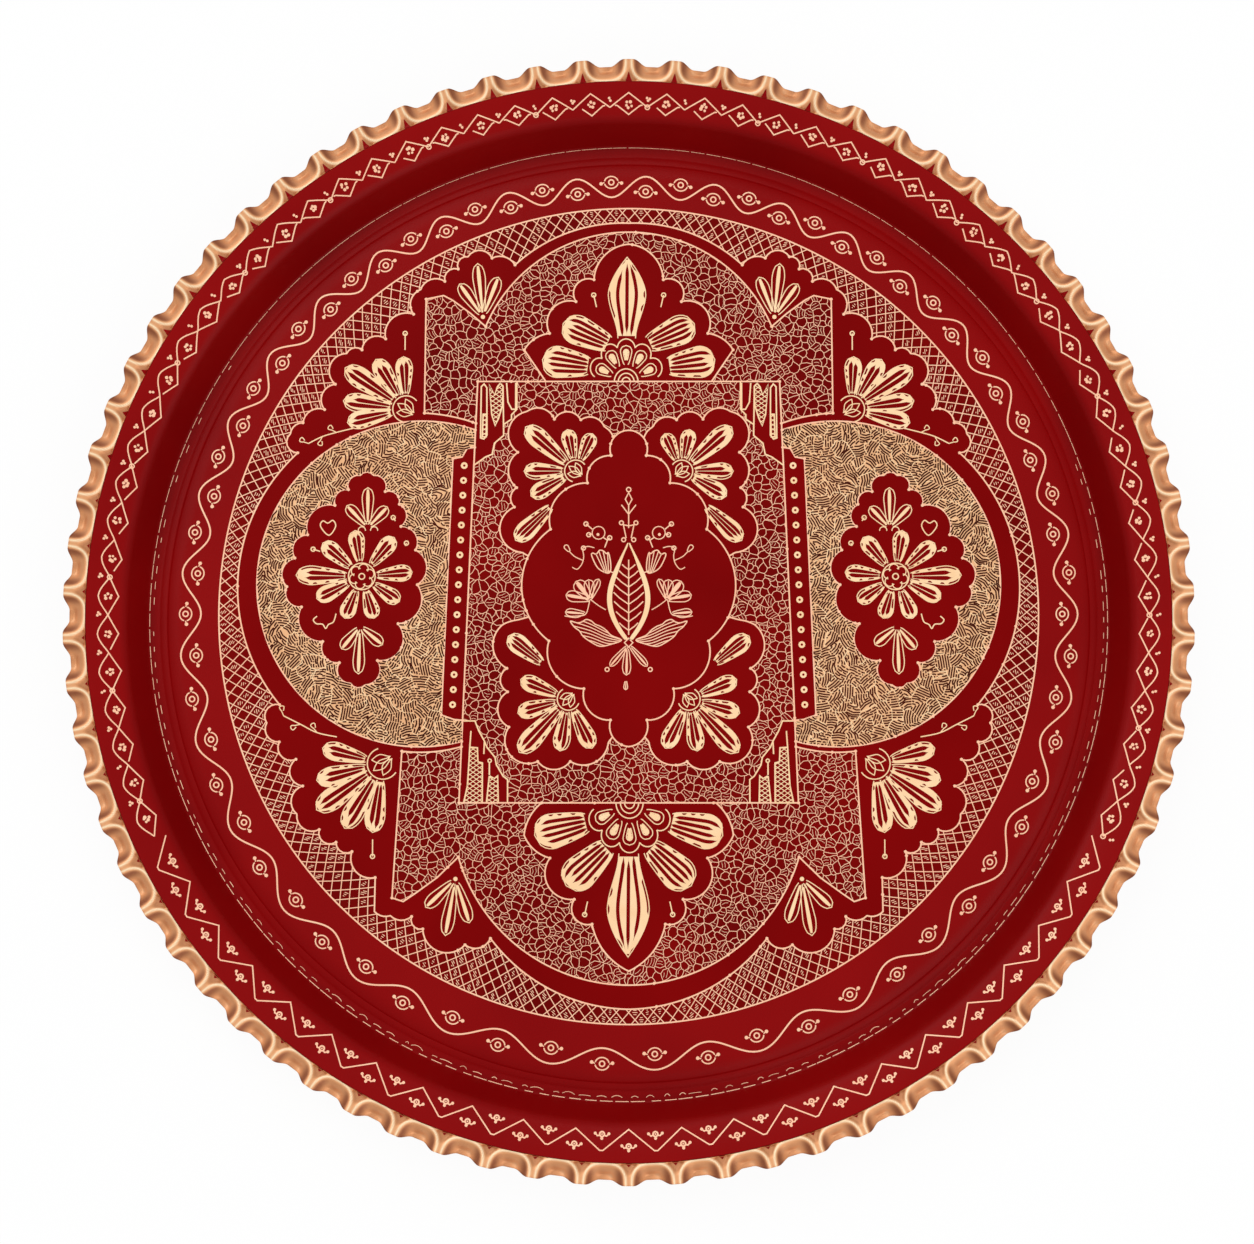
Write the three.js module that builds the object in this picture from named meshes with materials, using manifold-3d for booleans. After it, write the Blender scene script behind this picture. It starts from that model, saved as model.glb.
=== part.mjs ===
// A round serving tray: a spun copper pan, a fluted copper rim lapped under its border,
// and a coat of lacquer that the engraver has cut through to the copper, which leaves it in separate fields.
// Millimetres, +Z up. The origin is the centre of the foot ring, on the surface that the tray stands on.

import * as THREE from "three";
import { mergeVertices } from "three/addons/utils/BufferGeometryUtils.js";
import Module from "manifold-3d";

const wasm = await Module();
wasm.setup();

// Driving dimensions: radial widths, from the outer edge inwards
const OUTER_RADIUS = 200;
const RIM_WIDTH = 7.7;
const BORDER_WIDTH = 13;
const WALL_RUN = 6.7;
const FOOT_WIDTH = 4.3;
const WELL_SLOPE_RUN = 6;
const VINE_BAND_WIDTH = 15.5;

// Driving dimensions: heights and thicknesses
const SHEET = 1;
const WELL_RISE = 2.4;
const WALL_RISE = 13;
const BORDER_RISE = 3.2;
const RIM_RISE = 1.6;
const LACQUER = 0.35;

// Driving dimensions: bends of the sheet, as the length that each bend takes from the straights beside it
const WELL_BEND = 2.2;
const FOOT_BEND = 1.2;
const WALL_BEND = 2.2;

// Driving dimensions: flutes
const FLUTE_COUNT = 74;
const FLUTE_DEPTH = 4;
const FLUTE_SETBACK = 1.8;
const CREST_SHARE = 0.16;
const CREST_FLARE = 0.07;
const FLUTE_LIP = 0.6;
const CREST_LIP = 6.2;

// Driving dimensions: the joint under the border, and the engraved lines
const LAP_WIDTH = 6;
const SOLDER_LEG = 0.9;
const EDGE_GAP = 0.3;
const SEAT_GAP = 0.05;
const LINE_WIDTH = 0.8;
const LATTICE_MARGIN = 5.35;

// Radii and heights that follow
const PAN_RADIUS = OUTER_RADIUS - RIM_WIDTH - EDGE_GAP;
const WALL_TOP_RADIUS = PAN_RADIUS - BORDER_WIDTH;
const FOOT_OUTER_RADIUS = WALL_TOP_RADIUS - WALL_RUN;
const FOOT_INNER_RADIUS = FOOT_OUTER_RADIUS - FOOT_WIDTH;
const WELL_RADIUS = FOOT_INNER_RADIUS - WELL_SLOPE_RUN;
const FIELD_RADIUS = WELL_RADIUS - VINE_BAND_WIDTH;
const WELL_TOP = SHEET + WELL_RISE;
const WALL_TOP = SHEET + WALL_RISE;
const BORDER_TOP = WALL_TOP + BORDER_RISE;
const FOOT_LINE_RADIUS = FOOT_OUTER_RADIUS - FOOT_BEND;

const copper = new THREE.MeshStandardMaterial({ color: 0xc98d60, metalness: 1, roughness: 0.32 });
const solder = new THREE.MeshStandardMaterial({ color: 0xa9a7a2, metalness: 1, roughness: 0.45 });
const plainLacquer = new THREE.MeshStandardMaterial({ color: 0x8c0a12, metalness: 0, roughness: 0.3 });
const openGround = new THREE.MeshStandardMaterial({ color: 0xb0584a, metalness: 0.4, roughness: 0.4 });
const denseGround = new THREE.MeshStandardMaterial({ color: 0xc99a66, metalness: 0.6, roughness: 0.4 });

// Solids

function solidOf(geometry) {
  const bare = geometry.clone();
  bare.deleteAttribute("normal");
  bare.deleteAttribute("uv");
  const merged = mergeVertices(bare, 1e-4);
  const mesh = new wasm.Mesh({
    numProp: 3,
    vertProperties: new Float32Array(merged.attributes.position.array),
    triVerts: new Uint32Array(merged.index.array),
  });
  return new wasm.Manifold(mesh);
}

function geometryOf(solid) {
  const mesh = solid.getMesh();
  const geometry = new THREE.BufferGeometry();
  geometry.setAttribute("position", new THREE.BufferAttribute(mesh.vertProperties, 3));
  geometry.setIndex(new THREE.BufferAttribute(mesh.triVerts, 1));
  geometry.computeVertexNormals();
  return geometry;
}

// Revolves a closed section about Z, in one facet for each flute.
function revolve(section) {
  return new THREE.LatheGeometry(section, FLUTE_COUNT).rotateX(Math.PI / 2).rotateZ(Math.PI / 2);
}

const MITRE_LIMIT = 2.5;

// Moves a run of points to its right by a distance, with mitred corners.
function offset(points, distance, closed) {
  const last = points.length - 1;
  return points.map((point, i) => {
    const before = i > 0 || closed ? points.at(i - 1) : undefined;
    const after = i < last || closed ? points[(i + 1) % points.length] : undefined;
    const arriving = before ? point.clone().sub(before).normalize() : after.clone().sub(point).normalize();
    const leaving = after ? after.clone().sub(point).normalize() : arriving;
    const right = new THREE.Vector2(arriving.y + leaving.y, -arriving.x - leaving.x);
    const reach = Math.min(1 / (1 + arriving.dot(leaving)), MITRE_LIMIT);
    return point.clone().addScaledVector(right, distance * reach);
  });
}

// The sheet's section

// Straight runs from corner to corner, with each bend's corner cut off.
function bentPath(corners) {
  return corners.flatMap(({ r, z, bend }, i) => {
    const corner = new THREE.Vector2(r, z);
    if (!bend) return corner;
    return [corners[i - 1], corners[i + 1]].map((beside) => {
      const along = new THREE.Vector2(beside.r, beside.z).sub(corner);
      return corner.clone().add(along.setLength(bend));
    });
  });
}

const sheetTop = bentPath([
  { r: 0, z: WELL_TOP },
  { r: WELL_RADIUS, z: WELL_TOP, bend: WELL_BEND },
  { r: FOOT_INNER_RADIUS, z: SHEET },
  { r: FOOT_OUTER_RADIUS, z: SHEET, bend: FOOT_BEND },
  { r: WALL_TOP_RADIUS, z: WALL_TOP, bend: WALL_BEND },
  { r: PAN_RADIUS, z: BORDER_TOP },
]);

function trayPan() {
  return revolve([...offset(sheetTop, SHEET), ...sheetTop.toReversed()]);
}

// A point on the border's slope or its run outwards, at a depth under the lacquered face.
const borderDirection = new THREE.Vector2(BORDER_WIDTH, BORDER_RISE).normalize();
function onBorder(radius, depth) {
  const along = (radius - PAN_RADIUS) / borderDirection.x;
  const r = PAN_RADIUS + along * borderDirection.x + depth * borderDirection.y;
  const z = BORDER_TOP + along * borderDirection.y - depth * borderDirection.x;
  return new THREE.Vector2(r, z);
}

// The fluted rim

// Joins closed rows of points into one skin. A row may have a whole number of times as many points as its neighbour.
function skin(rows) {
  const positions = [];
  const starts = [];
  for (const row of rows) {
    starts.push(positions.length / 3);
    for (const [x, y, z] of row) positions.push(x, y, z);
  }
  const triangles = [];
  rows.forEach((row, i) => {
    const nextIndex = (i + 1) % rows.length;
    const next = rows[nextIndex];
    const steps = Math.max(row.length, next.length);
    const here = (k) => starts[i] + (Math.floor((k * row.length) / steps) % row.length);
    const there = (k) => starts[nextIndex] + (Math.floor((k * next.length) / steps) % next.length);
    for (let k = 0; k < steps; k++) {
      if (here(k) !== here(k + 1)) triangles.push(here(k), here(k + 1), there(k));
      if (there(k) !== there(k + 1)) triangles.push(here(k + 1), there(k + 1), there(k));
    }
  });
  const geometry = new THREE.BufferGeometry();
  geometry.setAttribute("position", new THREE.Float32BufferAttribute(positions, 3));
  geometry.setIndex(triangles);
  return geometry;
}

// A ring of points, one for each flute and turn within it. Half a turn is the middle of a flute.
// A pinch under 1 draws the others towards it.
const flutePitch = (2 * Math.PI) / FLUTE_COUNT;
function ringRow(turns, section, pinch = 1) {
  return Array.from({ length: FLUTE_COUNT }, (_, flute) =>
    turns.map((turn) => {
      const angle = (flute + (turn - 0.5) * pinch) * flutePitch;
      const { x: radius, y: height } = section(turn);
      return [radius * Math.cos(angle), radius * Math.sin(angle), height];
    }),
  ).flat();
}

// A point of a flute's face, or of its back at a depth. Turn is 0 and 1 on the crests beside it and 0.5 in its middle.
// Scooped is 0 on the scoop's lip, which runs out to the crests as a U, and 1 on the flute's edge.
const rimRoot = onBorder(PAN_RADIUS + EDGE_GAP, 0);
function flutePoint(turn, scooped, depth) {
  const side = Math.min(Math.abs(2 * turn - 1) / (1 - CREST_SHARE), 1);
  const lip = THREE.MathUtils.lerp(FLUTE_LIP, CREST_LIP, side ** 3);
  const reach = THREE.MathUtils.lerp(lip, RIM_WIDTH, scooped);
  const dip = scooped ** 0.8 * (1 - side ** 2);
  const rise = (RIM_RISE * reach) / RIM_WIDTH;
  return new THREE.Vector2(
    rimRoot.x + reach - dip * FLUTE_SETBACK,
    rimRoot.y + rise - dip * FLUTE_DEPTH - depth,
  );
}

function flutedRim() {
  const half = CREST_SHARE / 2;
  const turns = [half, 0.28, 0.5, 0.72, 1 - half];
  const fluteRow = (scooped, depth) => {
    const pinch = 1 - CREST_FLARE * scooped ** 2;
    return ringRow(turns, (turn) => flutePoint(turn, scooped, depth), pinch);
  };
  const plainRow = (radius, depth, columns) => ringRow(columns, () => onBorder(radius, depth));
  const lapTop = SHEET + SEAT_GAP;
  const root = PAN_RADIUS + EDGE_GAP;
  const inner = PAN_RADIUS - LAP_WIDTH;
  const middle = [0.5];
  return skin([
    plainRow(root + SHEET, lapTop + SHEET, middle),
    fluteRow(1, SHEET),
    fluteRow(1, 0),
    fluteRow(0.4, 0),
    fluteRow(0, 0),
    plainRow(root, 0, turns),
    plainRow(root, lapTop, middle),
    plainRow(inner, lapTop, middle),
    plainRow(inner, lapTop + SHEET, middle),
  ]);
}

// The fillet of solder in the corner between the border's underside and the end of the lap.
function solderSeam() {
  const outer = PAN_RADIUS - LAP_WIDTH - SEAT_GAP;
  const top = SHEET + SEAT_GAP;
  return revolve([
    onBorder(outer, top),
    onBorder(outer - SOLDER_LEG, top),
    onBorder(outer, top + SOLDER_LEG),
    onBorder(outer, top),
  ]);
}

// The lacquer's rings

// The section of a coat over the sheet between two radii: its underside outwards, then its face inwards.
function coatSection(innerRadius, outerRadius) {
  const onSheet = (radius) => {
    const i = sheetTop.findIndex((point) => point.x >= radius);
    const [start, end] = [sheetTop[i - 1], sheetTop[i]];
    return start.clone().lerp(end, (radius - start.x) / (end.x - start.x));
  };
  const between = sheetTop.filter((point) => point.x > innerRadius && point.x < outerRadius);
  const path = [onSheet(innerRadius), ...between, onSheet(outerRadius)];
  return [...offset(path, -SEAT_GAP), ...offset(path, -SEAT_GAP - LACQUER).toReversed()];
}

function borderCoat() {
  const section = coatSection(FOOT_LINE_RADIUS + LINE_WIDTH / 2, PAN_RADIUS - LINE_WIDTH / 2);
  return revolve([...section, section[0]]);
}

// The engraved drawing

// Each point is [x, y, bulge] from the tray's centre, to the drawing's own scale. The bulge is how far the stretch
// to the next point bows outwards, as a share of its length. Outlines run anticlockwise.

// A left half, from a point on the centre line to another below it, with its mirror image.
function bothHalves(half) {
  const right = half.slice(1, -1).toReversed();
  const mirrored = right.map(([x, y], i) => [-x, y, half[half.length - 3 - i][2]]);
  const [endX, endY] = half.at(-1);
  return [...half.slice(0, -1), [endX, endY, half.at(-2)[2]], ...mirrored];
}

// A closed outline on the left, as its mirror image on the right.
function mirrorImage(outline) {
  const count = outline.length;
  return outline.toReversed().map(([x, y], i) => [-x, y, outline[(2 * count - 2 - i) % count][2]]);
}

const ribbonOutline = bothHalves([
  [0, 143.3, 0.1],
  [-41, 128, 0.2],
  [-49.3, 130.5, 0.3],
  [-58, 131, 0.3],
  [-61.5, 126.5, 0.3],
  [-66.3, 122, 0.25],
  [-75, 119, 0.25],
  [-77.5, 110, 0.3],
  [-87.5, 101, 0.3],
  [-96, 97, 0.25],
  [-101.5, 95.7, 0.35],
  [-105.5, 84.5, 0.3],
  [-109.3, 75.3, 0.25],
  [-117, 70.5, 0.2],
  [-121.5, 66.5, 0.35],
  [-118.8, 59.6, 0.2],
  [-124.5, -31, 0.35],
  [-129, -37.5, 0.3],
  [-124.5, -44.3, 0.35],
  [-118.5, -50.5, 0.35],
  [-116, -60, 0.3],
  [-118, -70, 0.3],
  [-110, -75.5, 0.35],
  [-104, -80, 0.3],
  [-98.3, -83.3, 0.3],
  [-90, -92.5, 0],
  [-90.2, -104.5, 0.15],
  [-84.5, -106, 0.2],
  [-77, -106.3, 0.3],
  [-73, -110.7, 0.34],
  [-58, -116.3, 0.25],
  [-49, -114, 0.116],
  [0, -139],
]);

const upperGroundOutline = bothHalves([
  [0, 140, 0.152],
  [-51.5, 105.5, 0],
  [-57, 110.3, 0],
  [-63.3, 115, 0],
  [-66.7, 116.8, 0],
  [-73, 115.5, 0],
  [-73.4, 74, -0.038],
  [-54.9, 70.3, 0],
  [-54.3, 85.5, 0],
  [0, 85.5],
]);

const lowerGroundOutline = bothHalves([
  [0, -66, 0],
  [-60.4, -66, 0],
  [-59.6, -46, -0.05],
  [-80.8, -47.6, 0],
  [-84, -99.7, 0],
  [-80, -101, 0],
  [-76, -98.3, 0],
  [-68, -92.5, 0],
  [-60.5, -85.2, 0.167],
  [0, -130.5],
]);

const leftGroundOutline = [
  [-55.1, 67.9, 0.257],
  [-133, 12.5, 0.246],
  [-59.5, -44.1, 0],
  [-59.2, -36.6, 0],
  [-62.3, -36.3, 0],
  [-66.8, -34.7, 0],
  [-63.1, 57.5, 0],
  [-59.8, 58.1, 0],
  [-58, 61.2, 0],
  [-55.3, 61.6, 0],
];

const leftStripOutline = [
  [-63.1, 57.5, 0],
  [-66.8, -34.7, 0],
  [-62.3, -36.3, 0],
  [-59.2, -36.6, 0],
  [-55.3, 61.6, 0],
  [-58, 61.2, 0],
  [-59.8, 58.1, 0],
];

const panelOutline = [
  [54.3, 85.5, 0],
  [-54.3, 85.5, 0],
  [-60.4, -66, 0],
  [60.4, -66, 0],
];

const medallionOutline = bothHalves([
  [0, 67.8, 0.26],
  [-6.3, 58.6, 0.25],
  [-14.8, 48.7, 0.25],
  [-28, 32, 0.25],
  [-28.5, -8.2, 0.25],
  [-16, -25.3, 0.25],
  [-6.5, -36.5, 0.24],
  [0, -46],
]);

// The sprays' outlines close inside the medallion, which is cut out of them.
const upperSprayOutline = [
  [-4.5, 62, 0],
  [-5.6, 65.5, 0.1],
  [-8.7, 69, 0.25],
  [-17.2, 71.6, 0.3],
  [-26.7, 71.8, 0.25],
  [-36.6, 74.6, 0.33],
  [-39.8, 59.8, 0.25],
  [-40.2, 47, 0.25],
  [-41, 40, 0.4],
  [-38, 23.6, 0.1],
  [-33, 22, 0],
];

const lowerSprayOutline = [
  [-30, 2, 0],
  [-39.5, -0.6, 0.05],
  [-45, -2.3, 0.27],
  [-43.5, -18, 0.3],
  [-43.2, -26.4, 0.3],
  [-42.7, -39, 0.38],
  [-32.4, -51.3, 0.25],
  [-20.8, -51.3, 0.28],
  [-7.2, -44.3, 0],
  [-2, -38, 0],
];

const upperPalmetteOutline = bothHalves([
  [0, 135.6, 0.19],
  [-12.5, 122.6, 0.37],
  [-19, 114.6, 0.33],
  [-28.5, 103, 0.12],
  [-37.6, 97, 0],
  [-29.8, 85.5, 0],
  [0, 85.5],
]);

const lowerPalmetteOutline = bothHalves([
  [0, -66, 0],
  [-31, -66, 0.1],
  [-37.2, -77.5, 0.12],
  [-28, -85.6, 0.33],
  [-19.3, -100.2, 0.35],
  [-13, -109, 0.12],
  [0, -125.6],
]);

const leftLozengeOutline = [
  [-91.5, 51.5, 0.25],
  [-96.3, 51.5, 0.3],
  [-100.5, 46.3, 0.3],
  [-105.3, 40.6, 0.3],
  [-115, 30, 0.3],
  [-119.5, 21.6, 0.3],
  [-122.3, 11.3, 0.3],
  [-117, 4, 0.3],
  [-109.3, -8.4, 0.3],
  [-103.3, -16, 0.3],
  [-99.3, -23.4, 0.25],
  [-94, -24, 0.3],
  [-89.7, -15.2, 0.35],
  [-82.4, -2, 0.3],
  [-75.6, 12, 0.3],
  [-76.3, 24.5, 0.3],
  [-81.6, 33, 0.3],
  [-82.2, 41, 0.3],
  [-87.3, 45.6, 0.3],
];

const ARC_STEP = 9;

// The points of an outline as drawn, with each bowed stretch as an arc.
function arcs(outline) {
  const points = [];
  outline.forEach(([x, y, bulge], i) => {
    const start = new THREE.Vector2(x, y);
    const [endX, endY] = outline[(i + 1) % outline.length];
    const chord = new THREE.Vector2(endX, endY).sub(start);
    const outwards = new THREE.Vector2(chord.y, -chord.x);
    const turn = 4 * Math.atan(2 * bulge);
    const steps = bulge ? Math.max(2, Math.round(chord.length() / ARC_STEP)) : 1;
    for (let k = 0; k < steps; k++) {
      const angle = turn * (k / steps - 0.5);
      const along = turn ? 0.5 + (0.5 * Math.sin(angle)) / Math.sin(turn / 2) : 0;
      const out = turn ? (Math.cos(angle) - Math.cos(turn / 2)) / (2 * Math.sin(turn / 2)) : 0;
      points.push(start.clone().addScaledVector(chord, along).addScaledVector(outwards, out));
    }
  });
  return points;
}

// The drawing is scaled to leave a margin of lattice above and below the ribbon, and the field is centred on it.
const ribbonHeights = arcs(ribbonOutline).map((point) => point.y);
const ribbonTop = Math.max(...ribbonHeights);
const ribbonBottom = Math.min(...ribbonHeights);
const drawingScale = (2 * (FIELD_RADIUS - LATTICE_MARGIN)) / (ribbonTop - ribbonBottom);
const fieldOffset = (drawingScale * (ribbonTop + ribbonBottom)) / 2;
const trace = (outline) => arcs(outline).map((point) => point.multiplyScalar(drawingScale));

// A plate of lacquer on the well, or a taller one to cut with.
function plate(points, spare = 0) {
  const geometry = new THREE.ExtrudeGeometry(new THREE.Shape(points), {
    depth: LACQUER + 2 * spare,
    bevelEnabled: false,
  });
  return solidOf(geometry.translate(0, 0, WELL_TOP + SEAT_GAP - spare));
}

// An outline is the middle of an engraved line, so a field ends half a line inside it and a cut half a line outside.
const field = (outline) => plate(offset(trace(outline), -LINE_WIDTH / 2, true));
const cutter = (outline) => plate(offset(trace(outline), LINE_WIDTH / 2, true), LACQUER);
const without = (solid, ...outlines) => outlines.reduce((left, cut) => left.subtract(cutter(cut)), solid);

// From the engraved line in the foot ring, over the well's edge, to the field's round line, which is off centre.
function vineBand() {
  const round = FIELD_RADIUS + LINE_WIDTH / 2;
  const section = coatSection(round, FOOT_LINE_RADIUS - LINE_WIDTH / 2);
  const rows = section.map((point) => ringRow([0.5], () => point));
  for (const inner of [rows[0], rows.at(-1)]) {
    for (const point of inner) point[1] += fieldOffset;
  }
  return skin(rows);
}

function roundField() {
  const radius = FIELD_RADIUS - LINE_WIDTH / 2;
  const circle = new THREE.EllipseCurve(0, fieldOffset, radius, radius);
  return plate(circle.getPoints(FLUTE_COUNT).slice(0, -1));
}

const rightGroundOutline = mirrorImage(leftGroundOutline);
const rightStripOutline = mirrorImage(leftStripOutline);
const rightLozengeOutline = mirrorImage(leftLozengeOutline);
const sprays = {
  upper_left: upperSprayOutline,
  upper_right: mirrorImage(upperSprayOutline),
  lower_left: lowerSprayOutline,
  lower_right: mirrorImage(lowerSprayOutline),
};

// Assembly

const tray = new THREE.Group();
tray.name = "copper_tray";

function add(name, geometry, material) {
  const mesh = new THREE.Mesh(geometry, material);
  mesh.name = name;
  tray.add(mesh);
}
const addSolid = (name, solid, material) => add(name, geometryOf(solid), material);

add("tray_pan", trayPan(), copper);
add("fluted_rim", flutedRim(), copper);
add("rim_solder_seam", solderSeam(), solder);

add("border_lacquer", borderCoat(), plainLacquer);
add("vine_band_lacquer", vineBand(), plainLacquer);
addSolid("lattice_ground", without(roundField(), ribbonOutline), openGround);

const insideRibbon = [
  upperGroundOutline,
  lowerGroundOutline,
  leftGroundOutline,
  rightGroundOutline,
  leftStripOutline,
  rightStripOutline,
  panelOutline,
];
addSolid("ribbon_lacquer", without(field(ribbonOutline), ...insideRibbon), plainLacquer);
addSolid("upper_ground", without(field(upperGroundOutline), upperPalmetteOutline), openGround);
addSolid("lower_ground", without(field(lowerGroundOutline), lowerPalmetteOutline), openGround);
addSolid("left_ground", without(field(leftGroundOutline), leftLozengeOutline), denseGround);
addSolid("right_ground", without(field(rightGroundOutline), rightLozengeOutline), denseGround);

const insidePanel = [medallionOutline, ...Object.values(sprays)];
addSolid("panel_ground", without(field(panelOutline), ...insidePanel), openGround);
addSolid("medallion_lacquer", field(medallionOutline), plainLacquer);
for (const [place, outline] of Object.entries(sprays)) {
  addSolid(`${place}_spray_lacquer`, without(field(outline), medallionOutline), plainLacquer);
}
addSolid("upper_palmette_lacquer", field(upperPalmetteOutline), plainLacquer);
addSolid("lower_palmette_lacquer", field(lowerPalmetteOutline), plainLacquer);
addSolid("left_lozenge_lacquer", field(leftLozengeOutline), plainLacquer);
addSolid("right_lozenge_lacquer", field(rightLozengeOutline), plainLacquer);
addSolid("left_strip_lacquer", field(leftStripOutline), plainLacquer);
addSolid("right_strip_lacquer", field(rightStripOutline), plainLacquer);

export default tray;
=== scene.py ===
"""The looks of a round copper serving tray: smooth metal, red lacquer and the engraving cut through it."""
import math
import random

import bpy
import numpy as np
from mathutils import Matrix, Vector
from mathutils.geometry import delaunay_2d_cdt


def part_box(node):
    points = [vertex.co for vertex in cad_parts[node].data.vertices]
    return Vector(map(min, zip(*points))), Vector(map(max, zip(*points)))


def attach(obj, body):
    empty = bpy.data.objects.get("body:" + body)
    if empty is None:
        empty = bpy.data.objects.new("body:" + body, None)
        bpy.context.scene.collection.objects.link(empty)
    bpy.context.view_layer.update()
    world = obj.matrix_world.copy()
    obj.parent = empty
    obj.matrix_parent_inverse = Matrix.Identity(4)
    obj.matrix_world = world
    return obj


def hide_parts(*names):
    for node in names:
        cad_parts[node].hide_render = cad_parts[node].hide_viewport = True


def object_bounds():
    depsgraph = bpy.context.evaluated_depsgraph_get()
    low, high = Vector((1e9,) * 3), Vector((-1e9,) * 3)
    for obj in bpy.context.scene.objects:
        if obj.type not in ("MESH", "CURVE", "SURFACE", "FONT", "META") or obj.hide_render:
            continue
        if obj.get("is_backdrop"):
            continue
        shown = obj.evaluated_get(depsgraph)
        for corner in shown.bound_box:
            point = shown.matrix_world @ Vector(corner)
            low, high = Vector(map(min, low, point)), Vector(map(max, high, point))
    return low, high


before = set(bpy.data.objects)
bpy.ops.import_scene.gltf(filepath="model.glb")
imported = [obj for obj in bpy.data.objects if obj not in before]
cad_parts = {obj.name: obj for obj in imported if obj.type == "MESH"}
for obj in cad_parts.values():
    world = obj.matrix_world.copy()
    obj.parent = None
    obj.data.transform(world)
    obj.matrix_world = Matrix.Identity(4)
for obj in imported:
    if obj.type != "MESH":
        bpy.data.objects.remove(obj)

cad_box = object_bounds()
MM = 0.001
FULL_TURN = 2 * math.pi

# Sizes in millimetres. The outer radius and the heights of the well and the crests are the frame's.
OUTER_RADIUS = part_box("fluted_rim")[1].y / MM
CREST_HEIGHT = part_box("fluted_rim")[1].z / MM
WELL_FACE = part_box("medallion_lacquer")[1].z / MM
SHEET = 1.0
SEAT_GAP = 0.05
LACQUER = 0.35
COAT = SEAT_GAP + LACQUER
RIM_WIDTH = 7.7
EDGE_GAP = 0.3
RIM_RISE = 1.6
LAP_WIDTH = 6.0
BORDER_WIDTH = 13.0
BORDER_RISE = 3.2
WALL_RUN = 6.7
FOOT_WIDTH = 4.3
WELL_SLOPE_RUN = 6.0
WELL_BEND, FOOT_BEND, WALL_BEND = 2.4, 1.2, 2.4
PAN_RADIUS = OUTER_RADIUS - RIM_WIDTH - EDGE_GAP
WALL_TOP_RADIUS = PAN_RADIUS - BORDER_WIDTH
FOOT_OUTER_RADIUS = WALL_TOP_RADIUS - WALL_RUN
FOOT_INNER_RADIUS = FOOT_OUTER_RADIUS - FOOT_WIDTH
FOOT_LINE_RADIUS = FOOT_OUTER_RADIUS - FOOT_BEND
WELL_RADIUS = FOOT_INNER_RADIUS - WELL_SLOPE_RUN
WELL_TOP = WELL_FACE - COAT
RIM_ROOT_HEIGHT = CREST_HEIGHT - RIM_RISE
BORDER_SLOPE = BORDER_RISE / BORDER_WIDTH
BORDER_TOP = RIM_ROOT_HEIGHT - EDGE_GAP * BORDER_SLOPE
WALL_TOP = BORDER_TOP - BORDER_RISE
# A fine line pressed into the lacquer round the well
CREASE_RADIUS, CREASE_HALF, CREASE_DEPTH = 165.0, 0.4, 0.2
# The flat field of the pattern, a little above the tray's centre
FIELD_RADIUS = 146.5
FIELD_OFFSET = 2.15

FLUTES = 74
FLUTE_DEPTH = 4.0
FLUTE_SETBACK = 1.8
TURNED_ANGLES = np.linspace(0, FULL_TURN, 4 * FLUTES, endpoint=False)

# Widths of the engraved lines, and how far they stand over the lacquer. Each stroke takes the next level,
# so that the faces of strokes that cross don't coincide.
FINE, LINE, BOLD = 0.35, 0.42, 0.5
LINE_HEIGHT = 0.07
LINE_SINK = 0.04
LEVELS, LEVEL_STEP = 11, 0.003


# Materials

# Painted shade: the colour that darkens the lacquer low on the wall and round the foot
PAINTED_SHADE_COLOUR = (0.78, 0.7, 0.7, 1.0)
GRAIN_DEPTH = 0.00005


def srgb(red, green, blue):
    """A colour given in 0 to 255 as linear values."""
    def linear(value):
        value /= 255
        return value / 12.92 if value <= 0.04045 else ((value + 0.055) / 1.055) ** 2.4
    return (linear(red), linear(green), linear(blue), 1.0)


def new_material(name, **sockets):
    material = bpy.data.materials.new(name)
    material.use_nodes = True
    shader = material.node_tree.nodes["Principled BSDF"]
    for socket, value in sockets.items():
        shader.inputs[socket.replace("_", " ")].default_value = value
    return material, shader


def add_node(material, kind, **settings):
    """Adds a node. A setting that isn't one of its properties is one of its sockets."""
    node = material.node_tree.nodes.new(kind)
    for name, value in settings.items():
        if hasattr(node, name):
            setattr(node, name, value)
        else:
            node.inputs[name.replace("_", " ")].default_value = value
    return node


def link(material, output, socket):
    material.node_tree.links.new(output, socket)


def noise(material, scale, detail):
    """A noise factor over the object's own coordinates, in metres."""
    place = add_node(material, "ShaderNodeTexCoord")
    texture = add_node(material, "ShaderNodeTexNoise", Scale=scale, Detail=detail)
    link(material, place.outputs["Object"], texture.inputs["Vector"])
    return texture.outputs["Fac"]


def ramp(material, factor, stops):
    """Colours along a factor. Stops are (position, colour) pairs."""
    node = add_node(material, "ShaderNodeValToRGB")
    elements = node.color_ramp.elements
    for element, (position, colour) in zip(elements, stops):
        element.position, element.color = position, colour
    for position, colour in stops[2:]:
        elements.new(position).color = colour
    link(material, factor, node.inputs["Fac"])
    return node.outputs["Color"]


def point_value(material, name):
    """A factor that the mesh holds for each of its points."""
    return add_node(material, "ShaderNodeAttribute", attribute_name=name).outputs["Fac"]


def finish(material, shader, tone, roughness, patches, grain, strength=0.2):
    """Joins a tone to a shader. Patches of roughness and grain are each the (scale, detail) of a noise."""
    low, high = roughness
    spread = add_node(material, "ShaderNodeMapRange", To_Min=low, To_Max=high)
    bump = add_node(material, "ShaderNodeBump", Strength=strength, Distance=GRAIN_DEPTH)
    link(material, tone, shader.inputs["Base Color"])
    link(material, noise(material, *patches), spread.inputs["Value"])
    link(material, spread.outputs["Result"], shader.inputs["Roughness"])
    link(material, noise(material, *grain), bump.inputs["Height"])
    link(material, bump.outputs["Normal"], shader.inputs["Normal"])
    return material


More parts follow.
